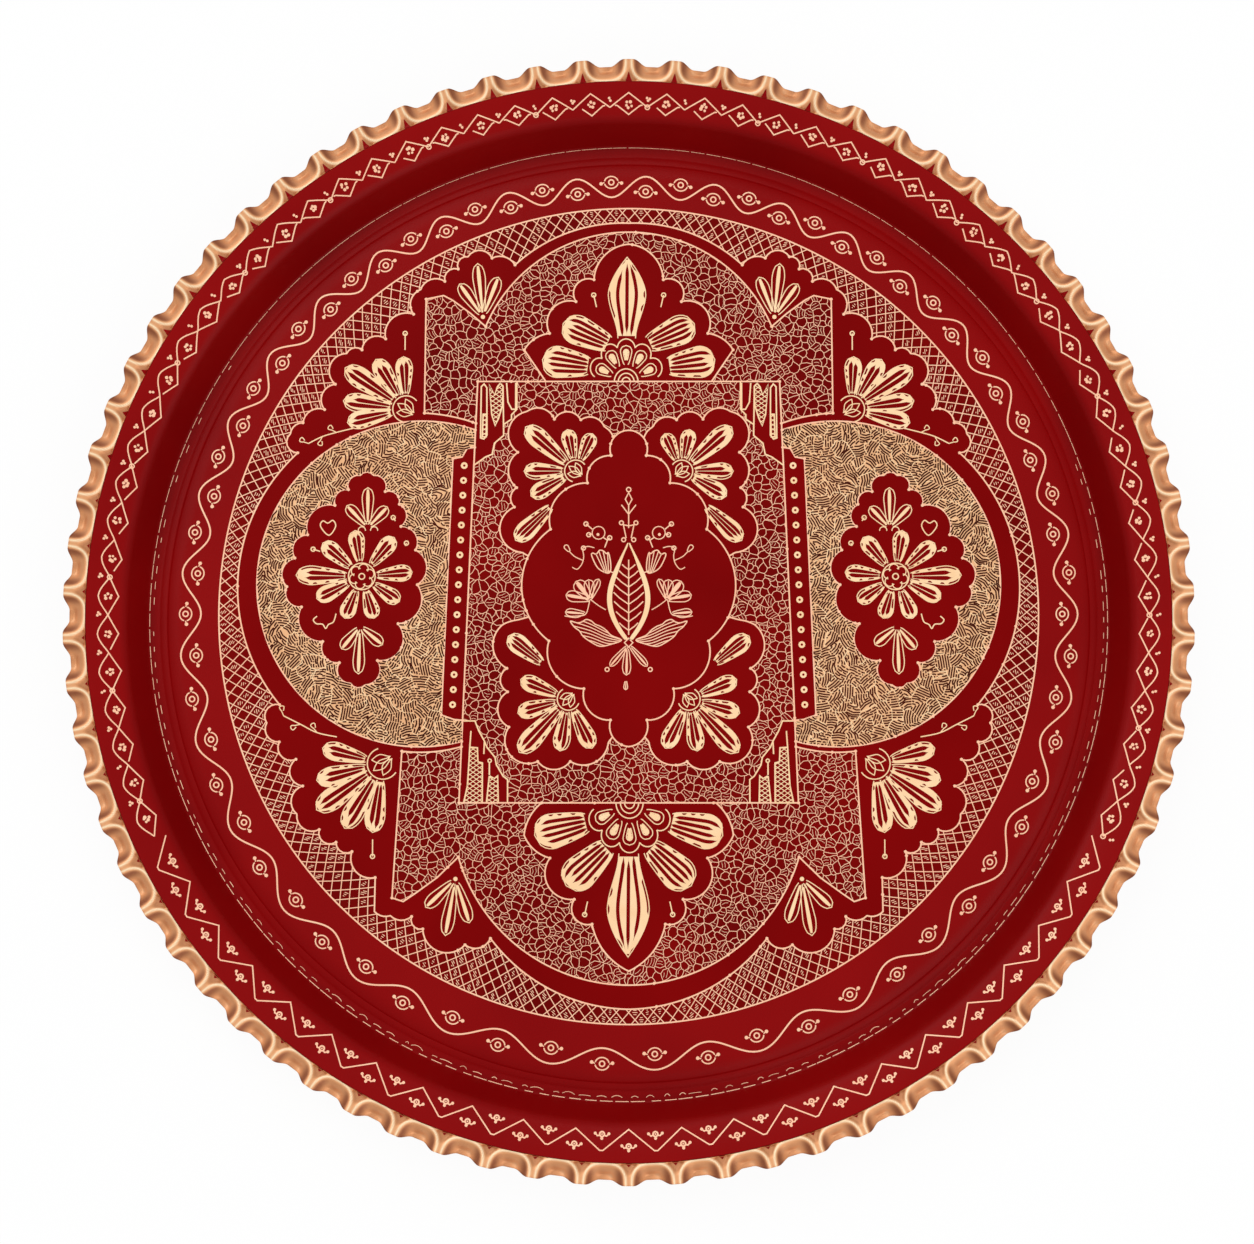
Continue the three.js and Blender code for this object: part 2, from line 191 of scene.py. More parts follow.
def lacquer_material(name, light, dark, gloss=0.03):
    """Semi-gloss lacquer with fine orange peel, a little uneven in depth, and with painted shade low on the
    wall and round the foot.
    """
    material, shader = new_material(name, Specular_IOR_Level=gloss, IOR=1.5)
    # Painted shade: the lacquer's tone multiplied by the shade colour, as far as each point holds painted
    # shade
    painted_shade_mix = add_node(material, "ShaderNodeMix", data_type="RGBA", blend_type="MULTIPLY")
    share, unshaded_tone_socket, painted_shade_socket = painted_shade_mix.inputs[0], painted_shade_mix.inputs[6], painted_shade_mix.inputs[7]
    painted_shade_socket.default_value = PAINTED_SHADE_COLOUR
    link(material, point_value(material, "painted_shade"), share)
    tone = ramp(material, noise(material, scale=16, detail=4), [(0.35, dark), (0.65, light)])
    link(material, tone, unshaded_tone_socket)
    return finish(material, shader, painted_shade_mix.outputs[2], (0.26, 0.4), patches=(60, 3), grain=(900, 2))


def copper_material(name, light, dark, roughness=(0.4, 0.55), metallic=0.2):
    """Copper with a worn face."""
    material, shader = new_material(name, Metallic=metallic)
    tone = ramp(material, noise(material, scale=120, detail=5), [(0.32, dark), (0.68, light)])
    return finish(material, shader, tone, roughness, patches=(400, 4), grain=(1500, 3))


def rim_material():
    """Rubbed copper with painted light: bright on the lips of the flutes, from wear and a painted highlight,
    darker in their hollows, from patina and painted shade, and darker on their flanks and at their outer
    edge, from painted shade.
    """
    material, shader = new_material("rim_copper", Metallic=0.45)
    tones = [(0.0, srgb(138, 74, 42)), (1.0, srgb(255, 230, 190)), (0.45, srgb(224, 157, 106))]
    tone = ramp(material, point_value(material, "wear_and_painted_light"), tones)
    return finish(material, shader, tone, (0.42, 0.56), patches=(400, 4), grain=(1200, 3), strength=0.15)


plain_red = lacquer_material("plain_lacquer", srgb(128, 3, 4), srgb(118, 2, 3))
border_red = lacquer_material("border_lacquer", srgb(139, 6, 7), srgb(130, 4, 6), gloss=0.06)
# Darker than the plain lacquer: the lacquer's red, with painted shade for the shadow between the close lines
# of the crackle and the lattice
ground_red_with_painted_shade = lacquer_material("ground_lacquer", srgb(124, 5, 4), srgb(102, 3, 3))
hatch_red = lacquer_material("hatch_lacquer", srgb(74, 20, 9), srgb(56, 13, 5))
engraved = copper_material("engraved_copper", srgb(255, 220, 174), srgb(250, 206, 156))
fine_copper = copper_material("fine_copper", srgb(255, 204, 168), srgb(253, 190, 154))
dense_copper = copper_material("dense_copper", srgb(243, 190, 140), srgb(230, 172, 122))
rim_copper = rim_material()
under_copper = copper_material("under_copper", srgb(205, 142, 100), srgb(168, 104, 68), (0.3, 0.5), 1.0)
dull_solder = copper_material("dull_solder", srgb(168, 164, 156), srgb(128, 124, 118), (0.45, 0.6), 1.0)


# Meshes

def new_piece(name, verts, faces, material, slot, sharp=None):
    """Makes a mesh of points in millimetres, on the tray's one body."""
    mesh = bpy.data.meshes.new(name)
    mesh.from_pydata((np.asarray(verts) * MM).tolist(), [], faces)
    mesh.materials.append(material)
    if sharp is not None:
        mesh.shade_smooth()
        mesh.set_sharp_from_angle(angle=math.radians(sharp))
    piece = bpy.data.objects.new(name, mesh)
    bpy.context.scene.collection.objects.link(piece)
    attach(piece, "root")
    return piece


def set_point_values(piece, name, values):
    piece.data.attributes.new(name, "FLOAT", "POINT").data.foreach_set("value", values)


def grid_faces(rows, columns):
    """Quads between closed rows of points, of which the last joins the first."""
    faces = []
    for row in range(rows):
        here, there = row * columns, (row + 1) % rows * columns
        for k in range(columns):
            m = (k + 1) % columns
            faces.append((here + k, here + m, there + m, there + k))
    return faces


def bar_faces(rows):
    """The faces of a bar whose rows have four corners, closed at both ends."""
    last = 4 * (rows - 1)
    return grid_faces(rows, 4)[:-4] + [(3, 2, 1, 0), (last, last + 1, last + 2, last + 3)]


def ring_points(radius, height, angles, shift=0.0):
    """Points round the tray's axis, moved by a shift along Y."""
    x, y = radius * np.cos(angles), radius * np.sin(angles) + shift
    return np.column_stack([x, y, np.broadcast_to(height, x.shape)])


def directions(ring):
    """Steps of 1 from each point of a ring towards the next one."""
    steps = np.roll(ring, -1, axis=0) - ring
    return steps / np.maximum(np.linalg.norm(steps, axis=1, keepdims=True), 1e-9)


def offset(points, distance, closed=False):
    """Moves a run of 2-D points to its right by a distance, with mitred corners."""
    points = np.asarray(points, float)
    leaving = directions(points)
    arriving = np.roll(leaving, 1, axis=0)
    if not closed:
        leaving[-1] = arriving[-1]
        arriving[0] = leaving[0]
    both = arriving + leaving
    reach = np.minimum(1 / np.maximum(1 + (arriving * leaving).sum(axis=1), 1e-3), 2.0)
    right = np.column_stack([both[:, 1], -both[:, 0]])
    return points + distance * reach[:, None] * right


def smooth(low, high, value):
    """0 up to a low value, 1 from a high one on and an even rise between them, for numbers and arrays."""
    t = np.minimum(np.maximum((value - low) / (high - low), 0.0), 1.0)
    return t * t * (3 - 2 * t)


# The pan and its coat

def bent(corners, steps=8):
    """Straight runs through (radius, height, bend) corners, with each bend as a curve."""
    points = []
    for i, (r, z, bend) in enumerate(corners):
        corner = np.array((r, z))
        if not bend:
            points.append(corner)
            continue
        ends = []
        for j in (i - 1, i + 1):
            along = np.array(corners[j][:2]) - corner
            ends.append(corner + along / np.linalg.norm(along) * bend)
        for t in np.linspace(0, 1, steps + 1):
            points.append((1 - t) ** 2 * ends[0] + 2 * t * (1 - t) * corner + t * t * ends[1])
    return np.array(points)


sheet_top = bent([
    (0, WELL_TOP, 0),
    (WELL_RADIUS, WELL_TOP, WELL_BEND),
    (FOOT_INNER_RADIUS, SHEET, FOOT_BEND / 2),
    (FOOT_OUTER_RADIUS, SHEET, FOOT_BEND),
    (WALL_TOP_RADIUS, WALL_TOP, WALL_BEND),
    (PAN_RADIUS, BORDER_TOP, 0),
])
sheet_face = offset(sheet_top, -COAT)


def face_height(points):
    """The height of the lacquered face over points."""
    return np.interp(np.hypot(points[:, 0], points[:, 1]), sheet_face[:, 0], sheet_face[:, 1])


def make_pan():
    section = [*offset(sheet_top, SHEET)[1:], *sheet_top[:0:-1]]
    rows, columns = len(section), len(TURNED_ANGLES)
    verts = np.vstack([ring_points(r, z, TURNED_ANGLES) for r, z in section])
    verts = np.vstack([verts, (0, 0, WELL_TOP - SHEET), (0, 0, WELL_TOP)])
    last, under, top = (rows - 1) * columns, rows * columns, rows * columns + 1
    faces = grid_faces(rows, columns)[:last]
    for k in range(columns):
        m = (k + 1) % columns
        faces += [(under, m, k), (top, last + k, last + m)]
    piece = new_piece("pan_sheet", verts, faces, under_copper, "copper_sheet", sharp=40)
    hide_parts("tray_pan")


# Where the painted shade ends about the wall's top, and how it thins out towards the bottom of the pattern
SHADE_BELOW, SHADE_ABOVE = 2, 3
SHADE_LOSS, SHADE_LOSS_FROM = 0.5, 0.3


def painted_shade_share(verts):
    """How much painted shade the lacquer gets: most low on the wall, and less at the bottom of the pattern.
    """
    radius = np.hypot(verts[:, 0], verts[:, 1])
    over_foot = smooth(FOOT_INNER_RADIUS, FOOT_OUTER_RADIUS, radius)
    over_wall = smooth(WALL_TOP_RADIUS - SHADE_BELOW, WALL_TOP_RADIUS + SHADE_ABOVE, radius)
    loss = SHADE_LOSS * smooth(SHADE_LOSS_FROM, 1, -verts[:, 1] / radius)
    return over_foot * (1 - over_wall) * (1 - loss)


def make_coat(name, inner, outer, slot, node, shift=0.0):
    """A ring of lacquer over the sheet. Its inner edge may be off the tray's centre."""
    def onto(radius):
        return np.array((radius, np.interp(radius, sheet_top[:, 0], sheet_top[:, 1])))
    crease = [onto(CREASE_RADIUS + side * CREASE_HALF) for side in (-1, 0, 1)]
    between = [p for p in (*sheet_top, *crease) if inner < p[0] < outer]
    path = np.array([onto(inner), *sorted(between, key=lambda p: p[0]), onto(outer)])
    face = offset(path, -COAT)
    face[:, 1] -= CREASE_DEPTH * (path[:, 0] == CREASE_RADIUS)
    section = [*offset(path, -SEAT_GAP), *face[::-1]]
    edges = (0, len(section) - 1)
    rings = [ring_points(r, z, TURNED_ANGLES, shift * (i in edges)) for i, (r, z) in enumerate(section)]
    verts = np.vstack(rings)
    piece = new_piece(name, verts, grid_faces(len(section), len(TURNED_ANGLES)), border_red, slot, sharp=40)
    # Painted shade, low on the wall and round the foot and less at the bottom of the pattern
    set_point_values(piece, "painted_shade", painted_shade_share(verts))
    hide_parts(node)


# The fluted rim

COLUMNS = 32
RIM_ROWS = 16
# Rows on the underside and round the outer edge of the flutes: reach and depth under their face
UNDERSIDE_DEPTH = 0.9 * SHEET
EDGE_ROWS = ((1.0, 0.8 * SHEET), (1.0, 0.25 * SHEET), (0.985, 0.0))
SCOOP_START = 0.05
MOUTH_HALF = 0.84
SCOOP_ROUNDNESS = 2.8
LIP_HEIGHT, LIP_HALF, LIP_PLACE = 0.25, 0.42, 0.3
HOLLOW_DEPTH = 0.7
HALF_PITCH = math.pi * (OUTER_RADIUS - RIM_WIDTH / 2) / FLUTES
# Painted streaks of light and shade across each scoop: how many waves, and where they start
PAINTED_STREAK_WAVES, PAINTED_STREAK_START = 9, 1
# How bright the lap and the scoops are, from wear and painted light, and what the parts of a flute add to
# that: wear and a painted highlight on the lips, painted shade on the flanks and at the outer edge, patina
# and painted shade in the hollows, and painted streaks across the scoops
PLAIN_WEAR_AND_PAINTED_LIGHT, SCOOP_WEAR_AND_PAINTED_LIGHT = 0.4, 0.45
WEAR_AND_PAINTED_LIGHT = {"lip": 0.55, "painted_flank_shade": -0.42, "hollow": -0.2, "painted_streak": -0.08, "edge": -0.15}
SPANDREL_ROWS = 4
SPANDREL_SINK, SPANDREL_LIFT = 0.1, 0.06
SPANDREL_HALF, SPANDREL_TIP = 0.13, 0.01
SPANDREL_LENGTH, SPANDREL_GROWTH = 0.16, 0.26


def scoop_share(turn, reach):
    """0 in the middle of a scoop's mouth, 1 on its U-shaped lip and more beyond it."""
    across = np.abs(turn) / MOUTH_HALF
    back = np.maximum(1 - reach, 0.0) / (1 - SCOOP_START)
    return (across ** SCOOP_ROUNDNESS + back ** SCOOP_ROUNDNESS) ** (1 / SCOOP_ROUNDNESS)


def lip_distance(turn, reach):
    """How far a point is outside a scoop's lip, in millimetres."""
    share, step = scoop_share(turn, reach), 0.01
    rise_across = (scoop_share(np.abs(turn) + step, reach) - share) / (step * HALF_PITCH)
    rise_along = (scoop_share(turn, reach - step) - share) / (step * RIM_WIDTH)
    return (share - 1) / np.maximum(np.hypot(rise_across, rise_along), 1e-3)


def flute_points(turn, reach, depth):
    """Radius, height, and wear with painted light on a flute. Turn is 0 in its middle, 1 on a crest. Reach is
    0 at the root.
    """
    aside, share, distance = np.abs(turn), scoop_share(turn, reach), lip_distance(turn, reach)
    dip = 1 - smooth(0.25, 1.0, share)
    lip = np.exp(-((distance - LIP_PLACE) / LIP_HALF) ** 2)
    hollow = smooth(0.7, 1.5, distance) * (1 - smooth(0.3, 0.6, reach)) * smooth(0, 0.05, reach)
    painted_flank_shade = smooth(0.35, 0.7, share) * (1 - smooth(0.85, 1.0, share)) * (0.2 + 0.8 * smooth(0.3, 0.7, aside))
    painted_streak = dip * np.cos(PAINTED_STREAK_WAVES * turn + PAINTED_STREAK_START)
    parts = {"lip": lip, "painted_flank_shade": painted_flank_shade, "hollow": hollow, "painted_streak": painted_streak, "edge": smooth(0.9, 1.0, reach)}
    # Wear and painted light: a highlight on the lip, shade on the flanks, in the hollow and at the outer
    # edge, and streaks across the scoop
    wear_and_painted_light = SCOOP_WEAR_AND_PAINTED_LIGHT + sum(WEAR_AND_PAINTED_LIGHT[name] * part for name, part in parts.items())
    setback = FLUTE_SETBACK * (1 - smooth(0.22, 0.78, aside)) * smooth(0.2, 1, reach)
    radius = PAN_RADIUS + EDGE_GAP + reach * RIM_WIDTH - setback
    height = RIM_ROOT_HEIGHT + reach * RIM_RISE - dip * FLUTE_DEPTH - HOLLOW_DEPTH * hollow - depth
    height += LIP_HEIGHT * lip * (1 - smooth(0.4, 0.85, reach))
    return radius, height, np.clip(wear_and_painted_light, 0, 1)


def make_rim():
    """One closed skin: out along the underside of the flutes, back over their top and round the lap."""
    steps = np.arange(FLUTES * COLUMNS)
    turns = 2 * (steps % COLUMNS / COLUMNS) - 1
    angles = FULL_TURN * (steps / COLUMNS - 0.5) / FLUTES
    rows, wear_and_painted_lights = [], []

    def add_row(radius, height, wear_and_painted_light=PLAIN_WEAR_AND_PAINTED_LIGHT):
        rows.append(ring_points(radius, height, angles))
        wear_and_painted_lights.append(np.broadcast_to(wear_and_painted_light, angles.shape))

    reaches = np.arange(RIM_ROWS + 1) / RIM_ROWS
    for reach in reaches[3:-1:3]:
        add_row(*flute_points(turns, reach, UNDERSIDE_DEPTH))
    for reach, depth in EDGE_ROWS:
        add_row(*flute_points(turns, reach, depth))
    for reach in reaches[-2::-1]:
        add_row(*flute_points(turns, reach, 0.0))
    root, inner, lap = PAN_RADIUS + EDGE_GAP, PAN_RADIUS - LAP_WIDTH, SHEET + SEAT_GAP
    for radius, depth in ((root, lap), (inner, lap), (inner, lap + SHEET), (root + SHEET, lap + SHEET)):
        add_row(radius, RIM_ROOT_HEIGHT + (radius - root) * BORDER_SLOPE - depth)
    faces = grid_faces(len(rows), len(angles))
    piece = new_piece("fluted_edging", np.vstack(rows), faces, rim_copper, "copper_rim", sharp=50)
    # The rim's colour follows this wear and painted light
    set_point_values(piece, "wear_and_painted_light", np.concatenate(wear_and_painted_lights))
    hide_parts("fluted_rim")


def make_spandrels():
    """The small points of lacquer that run out from the border between the flutes, longest along the top."""
    verts, faces = [], []
    for flute in range(FLUTES):
        start = len(verts)
        upward = math.sin(FULL_TURN * (flute + 0.5) / FLUTES)
        length = SPANDREL_LENGTH + SPANDREL_GROWTH * smooth(0.2, 0.8, upward)
        for share in np.linspace(0, 1, SPANDREL_ROWS):
            half = SPANDREL_HALF * (1 - share) + SPANDREL_TIP
            for turn in (half, -half):
                angle = FULL_TURN * (flute + 0.5 + turn / 2) / FLUTES
                pair = (SPANDREL_SINK, -SPANDREL_LIFT) if turn > 0 else (-SPANDREL_LIFT, SPANDREL_SINK)
                for depth in pair:
                    radius, height, _ = flute_points(1 - half, length * share, depth)
                    verts.append((radius * math.cos(angle), radius * math.sin(angle), height))
        faces += [tuple(start + i for i in face) for face in bar_faces(SPANDREL_ROWS)]
    new_piece("rim_spandrels", verts, faces, border_red, "border_lacquer")


# Strokes

PETAL_STATIONS = np.linspace(0.03, 0.97, 24)
# A slit's latest start and range of ends along a petal, its tapers, and its most share of a strip's room
SLIT_START, SLIT_ENDS = 0.07, (0.8, 0.95)
SLIT_OPENING, SLIT_CLOSING = 0.1, 0.12
SLIT_SHARE = 1.45
EDGE_GAP_CHANCE, EDGE_GAP_MOST, EDGE_GAP_SHARE = 0.42, 0.8, 0.36
PETAL_SEED = 5


class Engraving:
    """Collects copper strokes on the lacquered face and makes one mesh of them."""

    def __init__(self, height=LINE_HEIGHT):
        self.rng = random.Random(PETAL_SEED)
        self.height, self.level, self.side = height, 0, 1
        self.verts, self.faces = [], []

    def both_sides(self):
        """Two turns of a loop. What is drawn in the second one is mirrored to the right half of the tray."""
        for self.side in (1, -1):
            yield
        self.side = 1

    def add(self, runs, faces, lift=0):
        """Adds a solid, of which the runs are given low and high. A lift is a number of levels."""
        start = len(self.verts)
        self.level = (self.level + 1) % LEVELS
        rises = {"low": -LINE_SINK, "high": self.height + LEVEL_STEP * (self.level + lift)}
        placed = []
        for run, rise in runs:
            run = np.asarray(run) * (self.side, 1)
            placed.append(np.column_stack([run, face_height(run) + rises[rise]]))
        self.verts += np.stack(placed, axis=1).reshape(-1, 3).tolist()
        self.faces += [tuple(start + i for i in face)[::self.side] for face in faces]

    def blade(self, left, right, closed=False):
        """A thin solid between two runs of points."""
        faces = grid_faces(len(left), 4) if closed else bar_faces(len(left))
        self.add([(left, "low"), (left, "high"), (right, "high"), (right, "low")], faces)

    def stroke(self, points, width=LINE, closed=False):
        self.blade(offset(points, -width / 2, closed), offset(points, width / 2, closed), closed)

    def strokes(self, lines, width=LINE):
        for line in lines:
            self.stroke(line, width)

    def ring(self, centre, radius, width=LINE, steps=12):
        self.stroke(circle(centre, radius, steps), width, True)

    def dot(self, centre, radius=0.55, steps=8):
        """A small disc that stands over all strokes."""
        rim = circle(centre, radius, steps)
        low, high = range(0, 2 * steps, 2), range(1, 2 * steps, 2)
        walls = [(low[k - 1], low[k], high[k], high[k - 1]) for k in range(steps)]
        self.add([(rim, "low"), (rim, "high")], [low[::-1], high, *walls], LEVELS)

    def petal(self, base, tip, width, slits=2, slit_width=1.55, gather=0.88, **shape):
        """A petal of copper strips in a thin outline. The slits are uneven and gather to the middle."""
        on_petal = self.petal_outline(base, tip, width, **shape)
        half = petal_half_width(PETAL_STATIONS, **shape) * width / 2
        edges = [self.edge_gaps(half) - 1]
        for k in range(slits):
            start, end = self.rng.uniform(0, SLIT_START), self.rng.uniform(*SLIT_ENDS)
            opening = smooth(start, start + SLIT_OPENING, PETAL_STATIONS)
            opening *= 1 - smooth(end - SLIT_CLOSING, end, PETAL_STATIONS)
            reach = np.minimum(slit_width * opening, SLIT_SHARE * half / (slits + 1)) / half / 2
            middle = gather * (2 * (k + 1) / (slits + 1) - 1)
            edges += [middle - reach, middle + reach]
        edges.append(1 - self.edge_gaps(half))
        for low, high in zip(edges[::2], edges[1::2]):
            self.blade(on_petal(PETAL_STATIONS, low), on_petal(PETAL_STATIONS, high))

    def edge_gaps(self, half):
        """Short gaps, here and there, between a petal's body and its outline."""
        marks = np.repeat([self.rng.random() < EDGE_GAP_CHANCE for _ in range(len(half) // 2)], 2)
        return marks * np.minimum(EDGE_GAP_MOST, EDGE_GAP_SHARE * half) / half

    def petal_outline(self, base, tip, width, **shape):
        """Draws a petal's edge. Returns a function for points on the petal, by shares along and across it."""
        base, tip = np.array(base, float), np.array(tip, float)
        along = tip - base
        across = np.array((along[1], -along[0])) / np.linalg.norm(along)

        def on_petal(stations, share):
            reach = petal_half_width(stations, **shape) * width / 2
            return base + stations[:, None] * along + (share * reach)[:, None] * across

        edge = np.linspace(0, 1, 16)
        self.stroke(np.vstack([on_petal(edge, -1.0), on_petal(edge[-2::-1], 1.0)]), FINE)
        return on_petal

    def open_petal(self, base, tip, width, rib=0.3):
        """A petal's outline with one broad rib in it."""
        on_petal = self.petal_outline(base, tip, width)
        stations = np.linspace(0.05, 0.95, 9)
        self.blade(on_petal(stations, -rib), on_petal(stations, rib))

    def make(self, name, material=engraved, slot="copper_sheet"):
        new_piece(name, self.verts, self.faces, material, slot)


def petal_half_width(stations, pointed=False, waist=0.3):
    """The half width of a petal from its base to its tip, as a share of the most."""
    if pointed:
        taper = 1 - np.maximum((stations - 0.55) / 0.45, 0) ** 1.6
        return (waist + (1 - waist) * smooth(0, 0.55, stations)) * taper + 0.01
    swell = waist + (1 - waist) * np.minimum(stations / 0.7, 1) ** 0.65
    return swell * np.sqrt(np.clip(1 - np.maximum((stations - 0.6) / 0.4, 0) ** 2.6, 0, 1))


def ray(angle):
    """A step of 1 at an angle from the X axis, or several of them."""
    return np.stack([np.cos(angle), np.sin(angle)], axis=-1)


def circle(centre, radius, steps):
    return np.array(centre) + radius * ray(np.linspace(0, FULL_TURN, steps, endpoint=False))


def polar(radius, angle):
    """Points at a bearing from the tray's centre, in radians clockwise from the top."""
    return np.stack([radius * np.sin(angle), radius * np.cos(angle)], axis=-1)


def rounded(points, closed=False, steps=5):
    """A smooth run through points."""
    points = np.asarray(points, float)
    count = len(points)
    result = []
    for i in range(count if closed else count - 1):
        picks = [(i + j) % count if closed else min(max(i + j, 0), count - 1) for j in (-1, 0, 1, 2)]
        a, b, c, d = points[picks]
        for t in np.linspace(0, 1, steps, endpoint=False):
            bend = (2 * a - 5 * b + 4 * c - d) * t * t + (3 * b - a - 3 * c + d) * t ** 3
            result.append(0.5 * (2 * b + (c - a) * t + bend))
    if not closed:
        result.append(points[-1])
    return np.array(result)


# Outlines of the lacquer fields: (x, y, bulge), anticlockwise, as the solids have them

ARC_STEP = 1.2
STRAIGHT_STEP = 6.0


def both_halves(half):
    """A left half, from a point on the centre line to another below it, with its mirror image."""
    mirrored = [(-x, y, half[i - 1][2]) for i, (x, y, _) in enumerate(half)][-2:0:-1]
    end = half[-1]
    return [*half[:-1], (end[0], end[1], half[-2][2]), *mirrored]


def arcs(outline):
    """The points of an outline, with each bowed stretch as an arc."""
    points = []
    for (x, y, bulge), (end_x, end_y, _) in zip(outline, [*outline[1:], outline[0]]):
        start, chord = np.array((x, y)), np.array((end_x - x, end_y - y))
        outwards = np.array((chord[1], -chord[0]))
        turn = 4 * math.atan(2 * bulge)
        length = np.linalg.norm(chord)
        steps = max(4, round(length / ARC_STEP)) if bulge else max(1, round(length / STRAIGHT_STEP))
        for k in range(steps):
            along, out = k / steps, 0.0
            if bulge:
                angle = turn * (k / steps - 0.5)
                along = 0.5 + 0.5 * math.sin(angle) / math.sin(turn / 2)
                out = (math.cos(angle) - math.cos(turn / 2)) / (2 * math.sin(turn / 2))
            points.append(start + along * chord + out * outwards)
    return np.array(points)


# The inner ones come first, because the first outline that holds a place takes it.
OUTLINES = {
    "medallion": both_halves([
        (0, 67.8, 0.26), (-6.3, 58.6, 0.25), (-14.8, 48.7, 0.25), (-28, 32, 0.25), (-28.5, -8.2, 0.25),
        (-16, -25.3, 0.25), (-6.5, -36.5, 0.24), (0, -46, 0),
    ]),
    "upper_left_spray": [
        (-4.5, 62, 0), (-5.6, 65.5, 0.1), (-8.7, 69, 0.25), (-17.2, 71.6, 0.3), (-26.7, 71.8, 0.25),
        (-36.6, 74.6, 0.33), (-39.8, 59.8, 0.25), (-40.2, 47, 0.25), (-41, 40, 0.4), (-38, 23.6, 0.1),
        (-33, 22, 0),
    ],
    "lower_left_spray": [
        (-30, 2, 0), (-39.5, -0.6, 0.05), (-45, -2.3, 0.27), (-43.5, -18, 0.3), (-43.2, -26.4, 0.3),
        (-42.7, -39, 0.38), (-32.4, -51.3, 0.25), (-20.8, -51.3, 0.28), (-7.2, -44.3, 0), (-2, -38, 0),
    ],
    "upper_palmette": both_halves([
        (0, 135.6, 0.19), (-12.5, 122.6, 0.37), (-19, 114.6, 0.33), (-28.5, 103, 0.12), (-37.6, 97, 0),
        (-29.8, 85.5, 0), (0, 85.5, 0),
    ]),
    "lower_palmette": both_halves([
        (0, -66, 0), (-31, -66, 0.1), (-37.2, -77.5, 0.12), (-28, -85.6, 0.33), (-19.3, -100.2, 0.35),
        (-13, -109, 0.12), (0, -125.6, 0),
    ]),
    "left_lozenge": [
        (-91.5, 51.5, 0.25), (-96.3, 51.5, 0.3), (-100.5, 46.3, 0.3), (-105.3, 40.6, 0.3), (-115, 30, 0.3),
        (-119.5, 21.6, 0.3), (-122.3, 11.3, 0.3), (-117, 4, 0.3), (-109.3, -8.4, 0.3), (-103.3, -16, 0.3),
        (-99.3, -23.4, 0.25), (-94, -24, 0.3), (-89.7, -15.2, 0.35), (-82.4, -2, 0.3), (-75.6, 12, 0.3),
        (-76.3, 24.5, 0.3), (-81.6, 33, 0.3), (-82.2, 41, 0.3), (-87.3, 45.6, 0.3),
    ],
    "left_strip": [
        (-63.1, 57.5, 0), (-66.8, -34.7, 0), (-62.3, -36.3, 0), (-59.2, -36.6, 0), (-55.3, 61.6, 0),
        (-58, 61.2, 0), (-59.8, 58.1, 0),
    ],
    "panel_ground": [(54.3, 85.5, 0), (-54.3, 85.5, 0), (-60.4, -66, 0), (60.4, -66, 0)],
    "left_ground": [
        (-55.1, 67.9, 0.257), (-133, 12.5, 0.246), (-59.5, -44.1, 0), (-59.2, -36.6, 0), (-62.3, -36.3, 0),
        (-66.8, -34.7, 0), (-63.1, 57.5, 0), (-59.8, 58.1, 0), (-58, 61.2, 0), (-55.3, 61.6, 0),
    ],
    "upper_ground": both_halves([
        (0, 140, 0.152), (-51.5, 105.5, 0), (-57, 110.3, 0), (-63.3, 115, 0), (-66.7, 116.8, 0),
        (-73, 115.5, 0), (-73.4, 74, -0.038), (-54.9, 70.3, 0), (-54.3, 85.5, 0), (0, 85.5, 0),
    ]),
    "lower_ground": both_halves([
        (0, -66, 0), (-60.4, -66, 0), (-59.6, -46, -0.05), (-80.8, -47.6, 0), (-84, -99.7, 0),
        (-80, -101, 0), (-76, -98.3, 0), (-68, -92.5, 0), (-60.5, -85.2, 0.167), (0, -130.5, 0),
    ]),
    "ribbon": both_halves([
        (0, 143.3, 0.1), (-41, 128, 0.2), (-49.3, 130.5, 0.3), (-58, 131, 0.3), (-61.5, 126.5, 0.3),
        (-66.3, 122, 0.25), (-75, 119, 0.25), (-77.5, 110, 0.3), (-87.5, 101, 0.3), (-96, 97, 0.25),
        (-101.5, 95.7, 0.35), (-105.5, 84.5, 0.3), (-109.3, 75.3, 0.25), (-117, 70.5, 0.2),
        (-121.5, 66.5, 0.35), (-118.8, 59.6, 0.2), (-124.5, -31, 0.35), (-129, -37.5, 0.3),
        (-124.5, -44.3, 0.35), (-118.5, -50.5, 0.35), (-116, -60, 0.3), (-118, -70, 0.3),
        (-110, -75.5, 0.35), (-104, -80, 0.3), (-98.3, -83.3, 0.3), (-90, -92.5, 0), (-90.2, -104.5, 0.15),
        (-84.5, -106, 0.2), (-77, -106.3, 0.3), (-73, -110.7, 0.34), (-58, -116.3, 0.25),
        (-49, -114, 0.116), (0, -139, 0),
    ]),
}
# The steps in the panel's corners
UPPER_STEPS = [
    (-40.2, 85.5), (-40.2, 75.4), (-42.1, 73.4), (-42.1, 71.8), (-44.9, 69.9), (-44.9, 65.9), (-48.2, 63.1),
    (-49, 59.1), (-51.4, 58.1), (-55.4, 55.2),
]
LOWER_STEPS = [
    (-59.2, -36.8), (-54.8, -36.8), (-53.4, -40.4), (-51.4, -44), (-50.5, -46.2), (-47.6, -49.8),
    (-47.1, -52.5), (-44.7, -56.5), (-43.1, -57.7), (-43.1, -66),
]
UPPER_CORNER, LOWER_CORNER = (-54.3, 85.5), (-60.4, -66)


def mirrored(ring):
    """The mirror image of a ring of points, turned the same way round."""
    return np.array(ring)[::-1] * (-1, 1)


